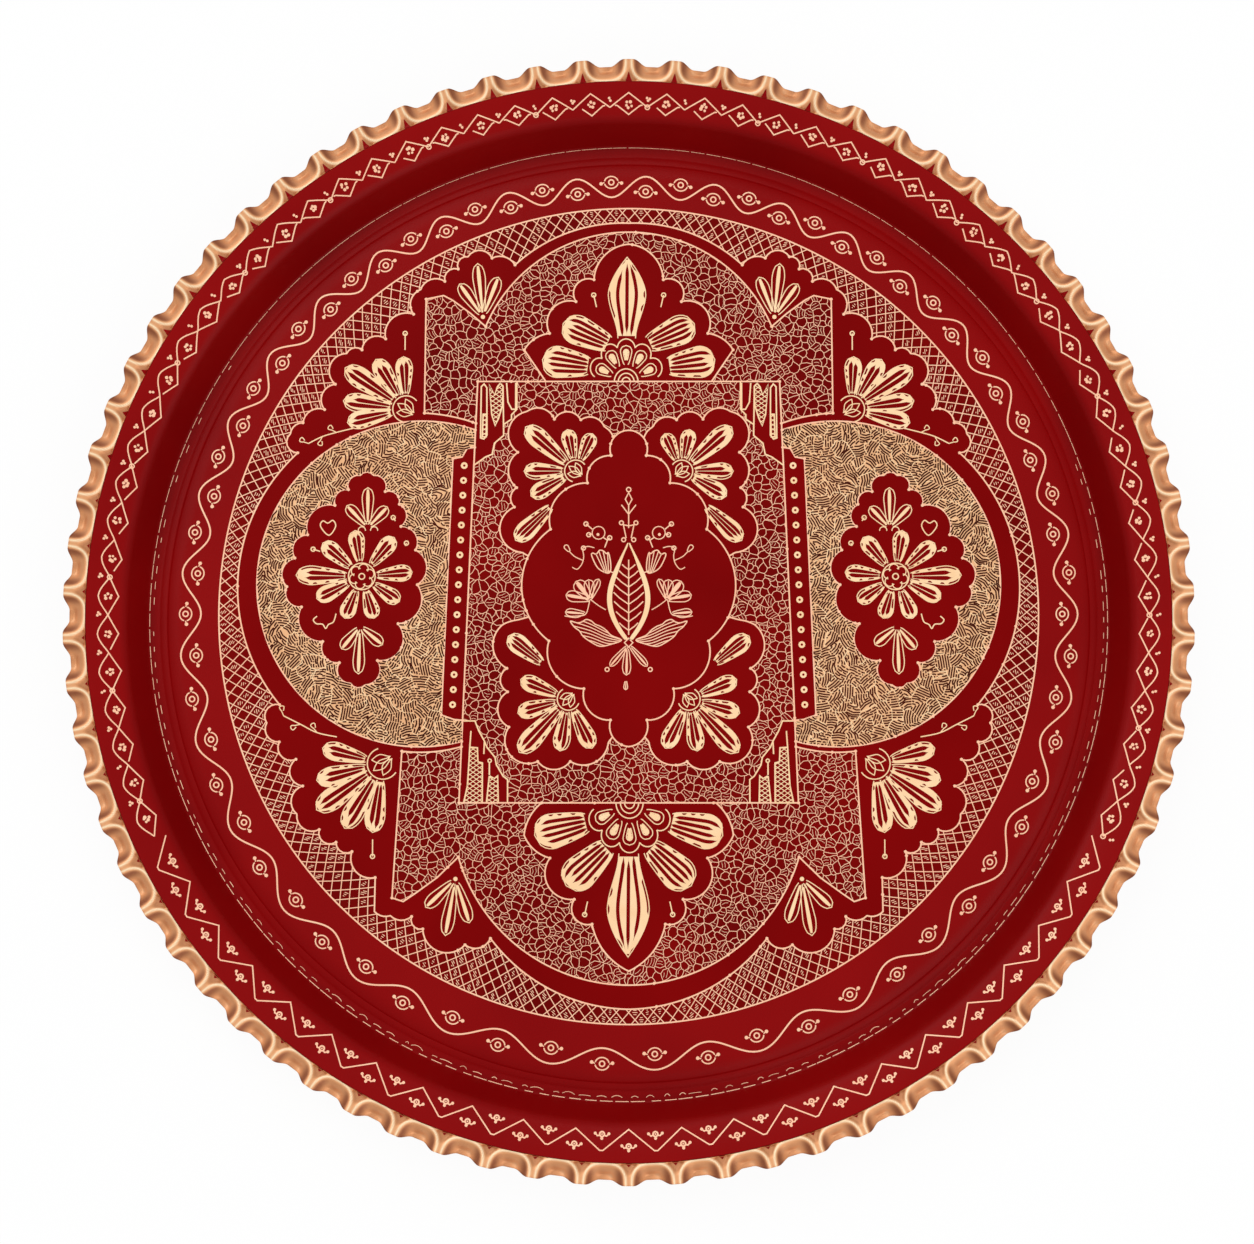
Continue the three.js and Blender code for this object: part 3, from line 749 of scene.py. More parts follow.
shapes = {}
for field, corners in OUTLINES.items():
    shapes[field] = arcs(corners)
    if "left" in field:
        shapes[field.replace("left", "right")] = mirrored(shapes[field])
field_circle = circle((0, FIELD_OFFSET), FIELD_RADIUS, 240)
spray_names = [field for field in shapes if field.endswith("spray")]
left_corners = [[*UPPER_STEPS, UPPER_CORNER], [*LOWER_STEPS, LOWER_CORNER]]
panel_corners = [*left_corners, *map(mirrored, left_corners)]


class Region:
    """The inside of an outline, less the insides of others."""

    def __init__(self, outer, *holes):
        self.rings = [np.asarray(ring) for ring in (outer, *holes)]

    def holds(self, points):
        points = np.atleast_2d(points)
        result = None
        for ring in self.rings:
            inside = np.zeros(len(points), bool)
            for (ax, ay), (bx, by) in zip(ring, np.roll(ring, -1, axis=0)):
                if ay == by:
                    continue
                crosses = (ay > points[:, 1]) != (by > points[:, 1])
                inside ^= crosses & (points[:, 0] < ax + (points[:, 1] - ay) / (by - ay) * (bx - ax))
            result = inside if result is None else result & ~inside
        return result

    def box(self):
        return self.rings[0].min(axis=0), self.rings[0].max(axis=0)


def resampled(line, step):
    """Points at even steps along a line."""
    line = np.asarray(line, float)
    lengths = np.concatenate([[0], np.cumsum(np.linalg.norm(np.diff(line, axis=0), axis=1))])
    places = np.linspace(0, lengths[-1], max(2, math.ceil(lengths[-1] / step) + 1))
    return np.column_stack([np.interp(places, lengths, line[:, axis]) for axis in (0, 1)])


def clipped(lines, region, step=0.15, keep_every=6):
    """The stretches of lines that lie in a region."""
    sampled = [resampled(line, step) for line in lines]
    inside = region.holds(np.vstack(sampled))
    stretches, start = [], 0
    for points in sampled:
        kept = inside[start:start + len(points)]
        start += len(points)
        ends = np.flatnonzero(np.diff(np.concatenate([[0], kept, [0]]).astype(int)))
        for first, last in zip(ends[::2], ends[1::2] - 1):
            if last > first:
                picks = sorted({*range(first, last, keep_every), last})
                stretches.append(points[picks])
    return stretches


# The flat lacquer fields

GROUND_SLOTS = {"left": "dense_lacquer", "right": "dense_lacquer", "lattice": "lattice_lacquer"}
FIELD_MATERIALS = {"plain_lacquer": plain_red, "dense_lacquer": dense_copper}
OUTLINE_WIDTH = 0.52
STRAY_BEADS = 0.04
CUSP_TURN = 1.0


def make_fields():
    """The fields, cut from one triangulated disc. The first outline that holds a triangle takes it."""
    points, edges = [], []
    for ring in (field_circle, *shapes.values(), *panel_corners):
        start, count = len(points), len(ring)
        points += [Vector(point) for point in ring]
        edges += [(start + k, start + (k + 1) % count) for k in range(count)]
    coords, _, triangles, *_ = delaunay_2d_cdt(points, edges, [], 0, 1e-5)
    coords, triangles = np.array(coords), np.array(triangles)
    middles = coords[triangles].mean(axis=1)
    free = Region(field_circle).holds(middles)
    in_corner = np.any([Region(ring).holds(middles) for ring in panel_corners], axis=0)
    in_corner &= Region(shapes["panel_ground"]).holds(middles)
    make_field("panel_corner", coords, triangles[in_corner])
    free &= ~in_corner
    for name, outline in shapes.items():
        taken = free & Region(outline).holds(middles)
        free &= ~taken
        make_field(name, coords, triangles[taken], name if name.endswith("ground") else f"{name}_lacquer")
    make_field("lattice", coords, triangles[free], "lattice_ground")


def make_field(name, coords, triangles, node=None):
    """A thin plate with the given triangles as its face."""
    used, inverse = np.unique(triangles, return_inverse=True)
    top, count = inverse.reshape(-1, 3).tolist(), len(used)
    levels = [np.insert(coords[used], 2, height, axis=1) for height in (WELL_FACE, WELL_FACE - LACQUER)]
    faces = [tuple(t) for t in top] + [(c + count, b + count, a + count) for a, b, c in top]
    sides = {(a, b) for t in top for a, b in zip(t, (*t[1:], t[0]))}
    faces += [(b, a, a + count, b + count) for a, b in sorted(sides) if (b, a) not in sides]
    slot = "plain_lacquer"
    if node and node.endswith("ground"):
        slot = GROUND_SLOTS.get(node.split("_")[0], "crackle_lacquer")
    material = FIELD_MATERIALS.get(slot, ground_red_with_painted_shade)
    piece = new_piece(f"{name}_field", np.vstack(levels), faces, material, slot)
    if node:
        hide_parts(node)


def make_outlines():
    """The lines round the fields, with beads at their cusps and a few elsewhere."""
    beside_medallion = Region(circle((0, 0), FIELD_RADIUS * 1.1, 60), shapes["medallion"])
    ink = Engraving(LINE_HEIGHT + LEVEL_STEP / 2)
    ink.stroke(field_circle, OUTLINE_WIDTH, True)
    beads = []
    for name, points in shapes.items():
        found = [*cusps(points), *(point for point in points if ink.rng.random() < STRAY_BEADS)]
        if name in spray_names:
            closed = np.vstack([points, points[:1]])
            ink.strokes(clipped([closed], beside_medallion, 0.3, 3), OUTLINE_WIDTH)
            found = [bead for bead in found if beside_medallion.holds(bead)[0]]
        else:
            ink.stroke(points, OUTLINE_WIDTH, True)
        beads += found
    for bead in beads:
        ink.dot(bead)
    ink.make("field_outlines", fine_copper)


def cusps(points):
    """The corners of an outline at which it turns sharply."""
    steps = directions(points)
    ahead = np.arctan2(steps[:, 1], steps[:, 0])
    turns = (ahead - np.roll(ahead, 1) + math.pi) % FULL_TURN - math.pi
    return points[np.abs(turns) > CUSP_TURN]


# Grounds

ROW_SHARE = 0.87
# Two styles of irregular cells. A style may draw or hatch only a share of them, and break
# a share of the hatching.
CRACKLE = {
    "seed": 11, "spacing": 2.9, "jitter": 0.55, "bow": 0.2, "width": 0.22,
    "hatched": 0.36, "pitch": 1.0, "margin": 0.45, "hatch_width": 0.143, "broken": 0.0,
}
DENSE = {
    "seed": 21, "spacing": 4.4, "jitter": 0.5, "bow": 0.3, "width": 0.3, "drawn": 0.55,
    "pitch": 0.88, "margin": 0.12, "hatch_width": 0.5, "broken": 0.4,
}
SHORTEST_SIDE, SHORTEST_HATCH, HATCH_BOW = 0.25, 0.4, 0.16
BREAK_HALF, BREAK_MARGIN, SHORTEST_BROKEN = 0.25, 0.6, 1.6


def scattered_cells(region, spacing, jitter, rng):
    """Irregular cells over a region, each as its middle and a ring of corners."""
    low, high = region.box()
    rows = int((high[1] - low[1]) / (spacing * ROW_SHARE)) + 5
    columns = int((high[0] - low[0]) / spacing) + 5
    sites = []
    for row in range(rows):
        for column in range(columns):
            x = low[0] + (column - 2 + 0.5 * (row % 2) + rng.uniform(-jitter, jitter)) * spacing
            y = low[1] + (row - 2 + rng.uniform(-jitter, jitter)) * spacing * ROW_SHARE
            sites.append(Vector((x, y)))
    coords, _, triangles, *_ = delaunay_2d_cdt(sites, [], [], 0, 1e-6)
    coords = np.array(coords)
    corners = {}
    for triangle in triangles:
        centre = circumcentre(*coords[list(triangle)])
        for i in triangle:
            corners.setdefault(i, []).append(centre)
    cells = []
    for i, centres in corners.items():
        rays = np.array(centres) - coords[i]
        if len(rays) >= 3 and np.linalg.norm(rays, axis=1).max() <= 3 * spacing:
            order = np.argsort(np.arctan2(rays[:, 1], rays[:, 0]))
            cells.append((coords[i], np.array(centres)[order]))
    return cells


def circumcentre(a, b, c):
    ba, ca = b - a, c - a
    d = 2 * (ba[0] * ca[1] - ba[1] * ca[0])
    across = ca[1] * ba.dot(ba) - ba[1] * ca.dot(ca)
    up = ba[0] * ca.dot(ca) - ca[0] * ba.dot(ba)
    return a + np.array((across, up)) / d


def bowed(a, b, bow):
    """A short line from a to b, bowed to one side by a share of its length."""
    return np.array([a, (a + b) / 2 + bow * np.array((b[1] - a[1], a[0] - b[0])), b])


def draw_inside(ink, lines, region, width):
    """Draws the short three-point lines, or what of them lies in a region."""
    inside = region.holds(np.vstack(lines)).reshape(-1, 3)
    ink.strokes([line for line, kept in zip(lines, inside) if kept.all()], width)
    crossing = [line for line, kept in zip(lines, inside) if kept.any() and not kept.all()]
    ink.strokes(clipped(crossing, region), width)


def cell_sides(cells, bow, rng):
    """The sides of cells, each once and a little bowed."""
    sides = {}
    for _, ring in cells:
        for a, b in zip(ring, np.roll(ring, -1, axis=0)):
            key = tuple(sorted((tuple(np.round(a, 3)), tuple(np.round(b, 3)))))
            if key not in sides and np.linalg.norm(b - a) > SHORTEST_SIDE:
                sides[key] = bowed(a, b, rng.uniform(-bow, bow))
    return list(sides.values())


def cell_hatch(site, ring, style, rng):
    """Close strokes across a cell, in a direction and a bow of its own."""
    pitch = style["pitch"]
    angle, bow = rng.uniform(0, math.pi), rng.uniform(-HATCH_BOW, HATCH_BOW)
    along = ray(angle)
    across = np.array((-along[1], along[0]))
    steps = directions(ring)
    inwards = np.column_stack([-steps[:, 1], steps[:, 0]])
    slopes = inwards @ along
    rows = int(np.abs((ring - site) @ across).max() / pitch)
    hatches = []
    for row in range(-rows, rows + 1):
        origin = site + across * row * pitch
        bounds = (style["margin"] - ((origin - ring) * inwards).sum(axis=1)) / slopes
        low, high = bounds[slopes > 0].max(), bounds[slopes < 0].min()
        if high - low < SHORTEST_HATCH:
            continue
        ends = [low, high]
        if high - low > SHORTEST_BROKEN and rng.random() < style["broken"]:
            middle = rng.uniform(low + BREAK_MARGIN, high - BREAK_MARGIN)
            ends = [low, middle - BREAK_HALF, middle + BREAK_HALF, high]
        hatches += [bowed(origin + along * a, origin + along * b, bow) for a, b in zip(ends[::2], ends[1::2])]
    return hatches


def draw_cells(sides_ink, hatch_ink, region, style, seed):
    """Draws the sides of irregular cells and the hatching in them."""
    rng = random.Random(seed)
    cells = scattered_cells(region, style["spacing"], style["jitter"], rng)
    hatches = []
    for site, ring in cells:
        if "hatched" not in style or rng.random() < style["hatched"]:
            hatches += cell_hatch(site, ring, style, rng)
    sides = cell_sides(cells, style["bow"], rng)
    if "drawn" in style:
        sides = [line for line in sides if rng.random() < style["drawn"]]
    draw_inside(sides_ink, sides, region, style["width"])
    draw_inside(hatch_ink, hatches, region, style["hatch_width"])


def make_grounds():
    """Crackle on the panel, above and below it, and dark strokes under a network on either side."""
    holes = {level: [shapes[f"{level}_palmette"]] for level in ("upper", "lower")}
    holes["panel"] = [shapes["medallion"], *(shapes[name] for name in spray_names), *panel_corners]
    for seed, (name, inside) in enumerate(holes.items(), CRACKLE["seed"]):
        ink = Engraving()
        draw_cells(ink, ink, Region(shapes[f"{name}_ground"], *inside), CRACKLE, seed)
        ink.make(f"{name}_crackle", fine_copper)
    for seed, side in enumerate(("left", "right"), DENSE["seed"]):
        network, hatch = Engraving(), Engraving()
        region = Region(shapes[f"{side}_ground"], shapes[f"{side}_lozenge"])
        draw_cells(network, hatch, region, DENSE, seed)
        hatch.make(f"{side}_hatch", hatch_red, "dense_lacquer")
        network.make(f"{side}_network")


LATTICE_COUNT, LATTICE_LEAN, LATTICE_INNER = 204, 0.86, 95.0
LATTICE_OUTER = FIELD_RADIUS + 1
LATTICE_CELLS, LATTICE_SEED = 15, 41
LATTICE_WIDTH, MARK_WIDTH = 0.32, 0.24
MARKED_SHARE, MARK_SHIFTS, MARK_HALVES = 0.55, (-0.75, 0.0, 0.75), (0.4, 0.9)
MARK_SLANT, MARK_WAVES, MARK_WANDER, MARK_SHORTENING = 0.8, 5, 0.2, 0.3


def make_lattice():
    """Two sets of leaning lines. About half of the cells between them have short strokes in them."""
    ink, rng = Engraving(), random.Random(LATTICE_SEED)
    region = Region(field_circle, shapes["ribbon"])
    centre = (0, FIELD_OFFSET)
    pitch = FULL_TURN / LATTICE_COUNT
    radii = np.linspace(LATTICE_INNER, LATTICE_OUTER, 40)
    leans = LATTICE_LEAN * np.log(LATTICE_OUTER / radii)
    lines, marks = [], []
    for k in range(LATTICE_COUNT):
        lines += [polar(radii, pitch * k + sense * leans) + centre for sense in (-1, 1)]
        for cell in range(1, LATTICE_CELLS + 1):
            radius = LATTICE_OUTER * math.exp(-cell * pitch / (2 * LATTICE_LEAN))
            angle = pitch * (k + 0.5 + cell / 2)
            if rng.random() < MARKED_SHARE:
                slant = MARK_SLANT * math.sin(MARK_WAVES * angle) + rng.uniform(-MARK_WANDER, MARK_WANDER)
                for shift in MARK_SHIFTS:
                    half = rng.uniform(*MARK_HALVES) - MARK_SHORTENING * abs(shift)
                    ends = half * np.array((-1, 0, 1))
                    marks.append(polar(radius + shift + slant * ends, angle + ends / radius) + centre)
    ink.strokes(clipped(lines, region, 0.3), LATTICE_WIDTH)
    draw_inside(ink, marks, region, MARK_WIDTH)
    ink.make("lattice_lines", fine_copper)


# The stepped corners of the panel: lines, a loop, netted bars and a small ring

CORNER_LINES = [
    UPPER_STEPS,
    [(-45.2, 84), (-44.9, 66)],
    [(-43.9, 85), (-43.4, 78), (-42, 75.4), (-40.6, 75.4), (-40.6, 85)],
    LOWER_STEPS,
    [(-56.6, -46.2), (-56.2, -40.4)],
    [(-49.6, -56.4), (-49.6, -51.8)],
    [(-51.6, -48.6), (-51.4, -44.2)],
]
CORNER_LOOP = [(-53.2, 65), (-53, 83.6), (-52, 84.6), (-51, 83.2), (-50.9, 66), (-52, 64.6)]
CORNER_RING = ((-49.5, -51), 0.6)
NETTED_BARS = [
    [(-52.6, 65.4), (-51.2, 65.4), (-51, 73.6), (-52.3, 73.6)],
    [(-50.2, 84.6), (-49.2, 73.5), (-48, 69.4), (-46.8, 72), (-45.3, 77), (-45.2, 83.8), (-46.2, 84.8),
     (-47.2, 83.6), (-48.2, 80.6)],
    [(-58.7, -66), (-52.1, -66), (-52.1, -51.8), (-53.7, -51.4), (-53.9, -46.4), (-56.6, -46.2), (-56.9, -52),
     (-57.4, -60)],
    [(-50.6, -66), (-46.4, -66), (-46.6, -56.3), (-47.8, -57.4), (-49.6, -56.4)],
]
NET_PITCH, NET_SLOPE, NET_WIDTH = 1.65, 0.7, 0.28


def netted_bar(ink, outline):
    """A bar with a net of crossing lines in it."""
    outline = np.array(outline, float)
    ink.stroke(outline, BOLD, True)
    (left, low), (right, high) = outline.min(axis=0), outline.max(axis=0)
    run = (right - left) * NET_SLOPE
    lines = []
    for y in np.arange(low - run, high + run, NET_PITCH):
        lines += [[(left, y), (right, y + run)], [(left, y + run), (right, y)]]
    ink.strokes(clipped(lines, Region(outline)), NET_WIDTH)


def make_panel_corners():
    ink = Engraving()
    for _ in ink.both_sides():
        ink.strokes(CORNER_LINES, BOLD)
        ink.stroke(CORNER_LOOP, BOLD, True)
        ink.ring(*CORNER_RING)
        for outline in NETTED_BARS:
            netted_bar(ink, outline)
    ink.make("panel_corners")


# Parts of flowers

# Hubs: the places and sizes of lobes, buds and leaves are shares of the radius
HUB_LOBES, HUB_LOBE_PLACE, HUB_LOBE_SIZE, HUB_BUD_SIZE = 6, 0.58, 0.36, 0.22
HUB_LOBE_TURNS = np.linspace(-1.9, 1.9, 9)
HALF_HUB_TURNS = np.linspace(-1.9, 1.9, 19)
HUB_LEAF_TURNS = (-0.95, 0.0, 0.95)
HUB_LEAF_FOOT, HUB_LEAF_TIP, HUB_LEAF_WIDTH = 0.62, 0.74, 0.56
HUB_GAP = 0.5
PETAL_WIDTH, PETAL_GROWTH = 2.7, 0.18
TREFOIL_GAP = 0.1
BUD_RADIUS = 0.75
SPRIG_REACH, SPRIG_BUD_WIDTH = 2.8, 1.7
# The half rosette of a palmette. Leaf and drop: inner end, outer end and width
CORE_ASPECT, CORE_ARCHES = 0.88, (1.8, 3.3, 4.9)
CORE_LEAF, CORE_DROP = (6.4, 13.4, 4.2), (8.0, 12.0, 2.0)
LOBE_REACH, LOBE_RADIUS = 12.1, 3.7
ARCH_TURNS = np.linspace(0.03, math.pi - 0.03, 16)
LOBE_TURNS = np.linspace(-1.45, 1.45, 13)
LOBE_ANGLES = math.pi * (0.14 + 0.18 * np.arange(5))


def hub(ink, centre, radius):
    """A flower's middle: a ring, a scalloped ring inside it and a small bud."""
    ink.ring(centre, radius, LINE, 24)
    for k in range(HUB_LOBES):
        angle = FULL_TURN * (k + 0.3) / HUB_LOBES
        lobe = np.array(centre) + radius * HUB_LOBE_PLACE * ray(angle)
        ink.stroke(lobe + radius * HUB_LOBE_SIZE * ray(angle + HUB_LOBE_TURNS), FINE)
    ink.ring(centre, radius * HUB_BUD_SIZE)


def half_hub(ink, centre, radius, tips):
    """The middle of a half flower: an arc that faces the petals, with three small leaves inside it."""
    centre = np.array(centre, float)
    out = np.mean(tips, axis=0) - centre
    facing = math.atan2(out[1], out[0])
    ink.stroke(centre + radius * ray(facing + HALF_HUB_TURNS))
    foot = centre - HUB_LEAF_FOOT * radius * ray(facing)
    for turn in HUB_LEAF_TURNS:
        tip = centre + HUB_LEAF_TIP * radius * ray(facing + turn)
        ink.petal_outline(foot, tip, radius * HUB_LEAF_WIDTH, pointed=True)


def bloom(ink, centre, tips, gap):
    """Petals from a hub to their tips. A longer one is wider."""
    centre = np.array(centre, float)
    for tip in tips:
        out = np.array(tip) - centre
        length = np.linalg.norm(out)
        ink.petal(centre + out / length * gap, tip, PETAL_WIDTH + PETAL_GROWTH * length)


def trefoil(ink, base, tips, width):
    """Narrow petals that share a base."""
    base = np.array(base, float)
    for tip in tips:
        ink.open_petal(base + TREFOIL_GAP * (np.array(tip) - base), tip, width)


def twig(ink, foot, head):
    ink.stroke([foot, head])
    ink.ring(head, BUD_RADIUS)


def sprig(ink, points):
    """A small stem with buds on either side."""
    points = np.array(points, float)
    ink.stroke(rounded(points))
    for k, point in enumerate(points[1:]):
        along = point - points[k]
        across = np.array((-along[1], along[0])) / np.linalg.norm(along)
        end = point + across * (SPRIG_REACH if k % 2 else -SPRIG_REACH) + along * 0.35
        ink.stroke([point, (point + end) / 2 + along * 0.08], FINE)
        ink.petal_outline((point + end) / 2, end, SPRIG_BUD_WIDTH)


def core(ink, centre, sense, scale):
    """The half rosette at a palmette's base: arches, and lobes with a drop in each."""
    def out(distance, angle):
        return np.array(centre) + distance * ray(angle) * (CORE_ASPECT * scale, sense * scale)

    for radius in CORE_ARCHES:
        ink.stroke(out(radius, ARCH_TURNS))
    for angle in LOBE_ANGLES:
        inner, outer, width = CORE_LEAF
        ink.petal_outline(out(inner, angle), out(outer, angle), width * scale)
        inner, outer, width = CORE_DROP
        ink.petal(out(inner, angle), out(outer, angle), width * scale, slits=0)
        ink.stroke(out(LOBE_REACH, angle) + out(LOBE_RADIUS, angle + LOBE_TURNS) - centre)


# Flowers. Each is drawn on the left and mirrored.

SPRAY_HUB_RADIUS = 4.0
SPRAYS = {
    "upper": {
        "hub": (-19, 53), "tips": [(-37, 69), (-22, 68), (-13, 66.5), (-37.5, 53), (-35, 44)],
        "alone": ((-28, 40), (-40.5, 28)),
    },
    "lower": {
        "hub": (-21.5, -29), "tips": [(-38.5, -22), (-39.5, -34), (-39, -48), (-24.5, -47.5), (-13, -46.5)],
        "alone": ((-31, -16), (-43, -6.5)),
    },
}
PALMETTES = {
    "upper": {
        "core": ((-0.9, 85.2), 1, 1.0),
        "middle": ((-0.7, 101.2), (-0.5, 130.8), 13.4),
        "sides": [((-7.2, 99.1), (-23.6, 106.6), 10.8), ((-14.2, 91.0), (-31.0, 93.4), 11.6)],
        "twig": ((-11.6, 112.6), (-12.6, 117)),
    },
    "lower": {
        "core": ((0.3, -66), -1, 1.12),
        "middle": ((0, -84), (-0.3, -120.6), 14.8),
        "sides": [((-7.6, -81.6), (-22.2, -95.4), 12.4), ((-14.8, -73), (-33.4, -77.6), 12.6)],
        "twig": ((-14.6, -101), (-15.6, -105.6)),
    },
}
FANS = {
    "upper": {
        "hub": (-80, 75.5), "radius": 4.8, "bud": ((-80.5, 97), (-80.5, 103)),
        "tips": [(-81, 94.5), (-91, 93.5), (-102, 90.5), (-102.5, 78.5), (-101, 70.5)],
        "sprig": [(-99, 68.5), (-105, 67), (-110, 65.5), (-115, 63)],
        "trefoil": ((-52.5, 109), [(-61, 121), (-54.5, 128.5), (-47, 123.5)]),
    },
    "lower": {
        "hub": (-87.5, -52), "radius": 5.6, "bud": ((-91, -79), (-91, -85)),
        "tips": [(-109, -46.5), (-111, -58), (-111, -68.5), (-101, -75), (-91, -76.5)],
        "sprig": [(-104, -42.5), (-111, -41), (-117, -38), (-123, -35)],
        "trefoil": ((-61.5, -93), [(-72, -103), (-65, -113), (-56.5, -108.5)]),
    },
}
SCALE_RADIUS, SCALE_TURNS = 1.3, math.pi / 2 + np.linspace(-1.7, 1.7, 9)
LOZENGE = {
    "hub": (-95.5, 15), "radius": 4.8, "gap": 5.4,
    "tips": [(-98, 31.5), (-84, 29), (-77.5, 16.5), (-82, 6), (-91, 0), (-101.5, 0), (-111.5, 7),
             (-119, 15.5), (-109.5, 27)],
    "trefoils": [((-93.5, 32.5), [(-101, 40.5), (-93.5, 47), (-86.5, 40)]),
                 ((-96, -3), [(-102.5, -11), (-96.5, -20), (-88, -9.5)])],
    "scales": [(-95.6, 31.6), (-93.3, 33.6), (-91.2, 31.6)],
    "twigs": [((-110.5, 24), (-113, 24.8)), ((-83.6, 35), (-84.4, 36.2)), ((-80, 26), (-79.6, 27))],
    "heart": [(-107.4, 29.8), (-110.4, 33), (-109.6, 35), (-107.8, 34.2), (-106, 35.2), (-105, 33)],
    "sprout": [(-111.4, 0.7), (-112.7, -0.6), (-111.6, -2), (-109.4, -2.2), (-108.3, -3.7), (-107.3, -2.3),
               (-105.5, -1.3), (-104.6, 1.6)],
}


def make_on_sides(name, draw, *settings):
    """Makes a left and a right piece of what a function draws."""
    for word, side in (("left", 1), ("right", -1)):
        ink = Engraving()
        ink.side = side
        draw(ink, *settings)
        ink.make(name.format(word))


def draw_spray(ink, spray):
    half_hub(ink, spray["hub"], SPRAY_HUB_RADIUS, spray["tips"])
    bloom(ink, spray["hub"], spray["tips"], SPRAY_HUB_RADIUS + HUB_GAP)
    ink.petal(*spray["alone"], width=6.8, slits=3, slit_width=1.2)


def draw_fan(ink, fan):
    half_hub(ink, fan["hub"], fan["radius"], fan["tips"])
    bloom(ink, fan["hub"], fan["tips"], fan["radius"] + HUB_GAP)
    twig(ink, *fan["bud"])
    sprig(ink, fan["sprig"])
    base, tips = fan["trefoil"]
    trefoil(ink, base, tips, width=4.6)
    ink.dot(base, radius=0.8)


def draw_lozenge(ink):
    hub(ink, LOZENGE["hub"], LOZENGE["radius"])
    bloom(ink, LOZENGE["hub"], LOZENGE["tips"], LOZENGE["gap"])
    for base, tips in LOZENGE["trefoils"]:
        trefoil(ink, base, tips, width=4.2)
    for middle in LOZENGE["scales"]:
        ink.stroke(middle + SCALE_RADIUS * ray(SCALE_TURNS), FINE)
    for foot, head in LOZENGE["twigs"]:
        twig(ink, foot, head)
    ink.stroke(rounded(LOZENGE["heart"], True), LINE, True)
    ink.stroke(rounded(LOZENGE["sprout"]))


def draw_palmette(ink, palmette):
    for _ in ink.both_sides():
        for base, tip, width in palmette["sides"]:
            ink.petal(base, tip, width, slits=4, slit_width=1.3, gather=0.95, waist=0.5)
        twig(ink, *palmette["twig"])
    ink.petal(*palmette["middle"], slits=3, slit_width=1.25, gather=1.0, pointed=True, waist=0.46)
    core(ink, *palmette["core"])


def make_flowers():
    for level in ("upper", "lower"):
        make_on_sides(f"{level}_{{}}_spray_petals", draw_spray, SPRAYS[level])
        make_on_sides(f"{level}_{{}}_fan_petals", draw_fan, FANS[level])
        ink = Engraving()
        draw_palmette(ink, PALMETTES[level])
        ink.make(f"{level}_palmette_petals")
    make_on_sides("{}_lozenge_petals", draw_lozenge)


# The medallion's flower

DROP_TOP, DROP_LENGTH, DROP_HALF, DROP_NECK = 27.4, 36.4, 7.4, 0.35
DROP_SPAN, DROP_SKEW, DROP_FULLNESS = (0.01, 0.965), 1.2, 0.9
BAND_NARROW, BAND_GROWTH, BAND_GROWS, BAND_GAP = 0.7, 1.1, (0.05, 0.35), 0.04
FILLING_TOP, FILLING_LENGTH, FILLING_HALF = 24.5, 35.4, 5.4
RIB_HEIGHTS = np.linspace(17.4, -4.4, 8)
RIB = [(0, 0), (-0.6, 0.42), (-1, 0.8)]
LEAF = [
    (-2.6, -7.9), (-6.2, -6.2), (-8.2, -4.2), (-10.2, -2.9), (-12.0, -2.2), (-13.4, -1), (-15.2, -0.5),
    (-16.8, -1.4), (-18.4, -1.7), (-20.8, -1.1), (-19.4, -3.2), (-17.6, -4.6), (-16.2, -6.6), (-13.4, -8.6),
    (-10.2, -10.1), (-6.4, -9.4),
]
LEAF_VEINS = [
    rounded([(-21, 1.5 * k - 7), (-14, 1.2 * k - 8), (-8, k - 10), (-3, 0.5 * k - 9.6)]) for k in range(9)
]
TULIP = [
    (-7.7, 16.2), (-11, 18), (-13.2, 22.3), (-12.9, 23.4), (-11.6, 23), (-10.4, 24.4), (-9, 24.1), (-8, 23.2),
    (-7.2, 23.4), (-6.5, 20.2), (-6.5, 17.1),
]
TULIP_STRIPES = [[(-7.2 - 0.4 * k, 16.2), (-7.6 - 1.6 * k, 24.4)] for k in range(4)]
TENDRILS = [
    [(-12.3, 25.3), (-14.6, 25.8), (-16.4, 25), (-16.1, 22.2), (-16.7, 19.6), (-18.4, 17.6), (-20.2, 18.3)],
    [(-16.5, 20.8), (-19.4, 22.2), (-21.4, 24.2)],
    [(-13.9, 6.6), (-15, 2), (-16.6, 1), (-19, 0.2), (-22.9, 0.8)],
    [(-13.8, 6.8), (-10.6, 4.4), (-8.2, 3)],
]
STEMS = [
    [(-7.4, 17), (-5, 16.2)], [(-9.2, 29.1), (-7.6, 28), (-8.6, 25.4)],
    [(-0.9, 28.8), (-1.9, 33.6), (0, 33.2)], [(0, 37.4), (-2.6, 40.8)],
]
BUDDED_TWIGS = [
    ((-12.8, 31.8), (-15.3, 33.9)), ((-13, 30.3), (-14.3, 30)), ((-7.6, 28), (-6.8, 28.9)),
]
BUD_RINGS, BUD_RING_RADIUS = [(-16.2, 25.2), (-2.6, 34.3), (-1.8, 28.2), (-7.7, -18.4)], 0.72
TENDRIL_BUD = ((-21.2, 24), (-22.8, 26.2), 1.6)
FINIAL_RING = ((0, 46.3), 0.8)
FRUIT, FRUIT_RADIUS, FRUIT_SEED = (-10.8, 30.7), 2.3, (-11, 30.1)
BLOSSOM_FOOT = (-13.8, 6.8)
BLOSSOM = [
    ((-22.4, 8.3), 4.0, 0.3), ((-18.8, 13.2), 4.8, 0.34), ((-14.3, 13.8), 3.6, 0.12), ((-10.7, 14), 2.6, 0.2),
]
SIDE_PODS = [((-15.6, 1.6), (-22.6, 2.2), 2.8), ((-0.6, -10.2), (-6.6, -17.2), 2.4)]
MIDDLE_PODS = [((-0.6, -11), (-0.8, -20.4), 3.0), ((-1, -22.6), (-1.1, -25.6), 1.4)]
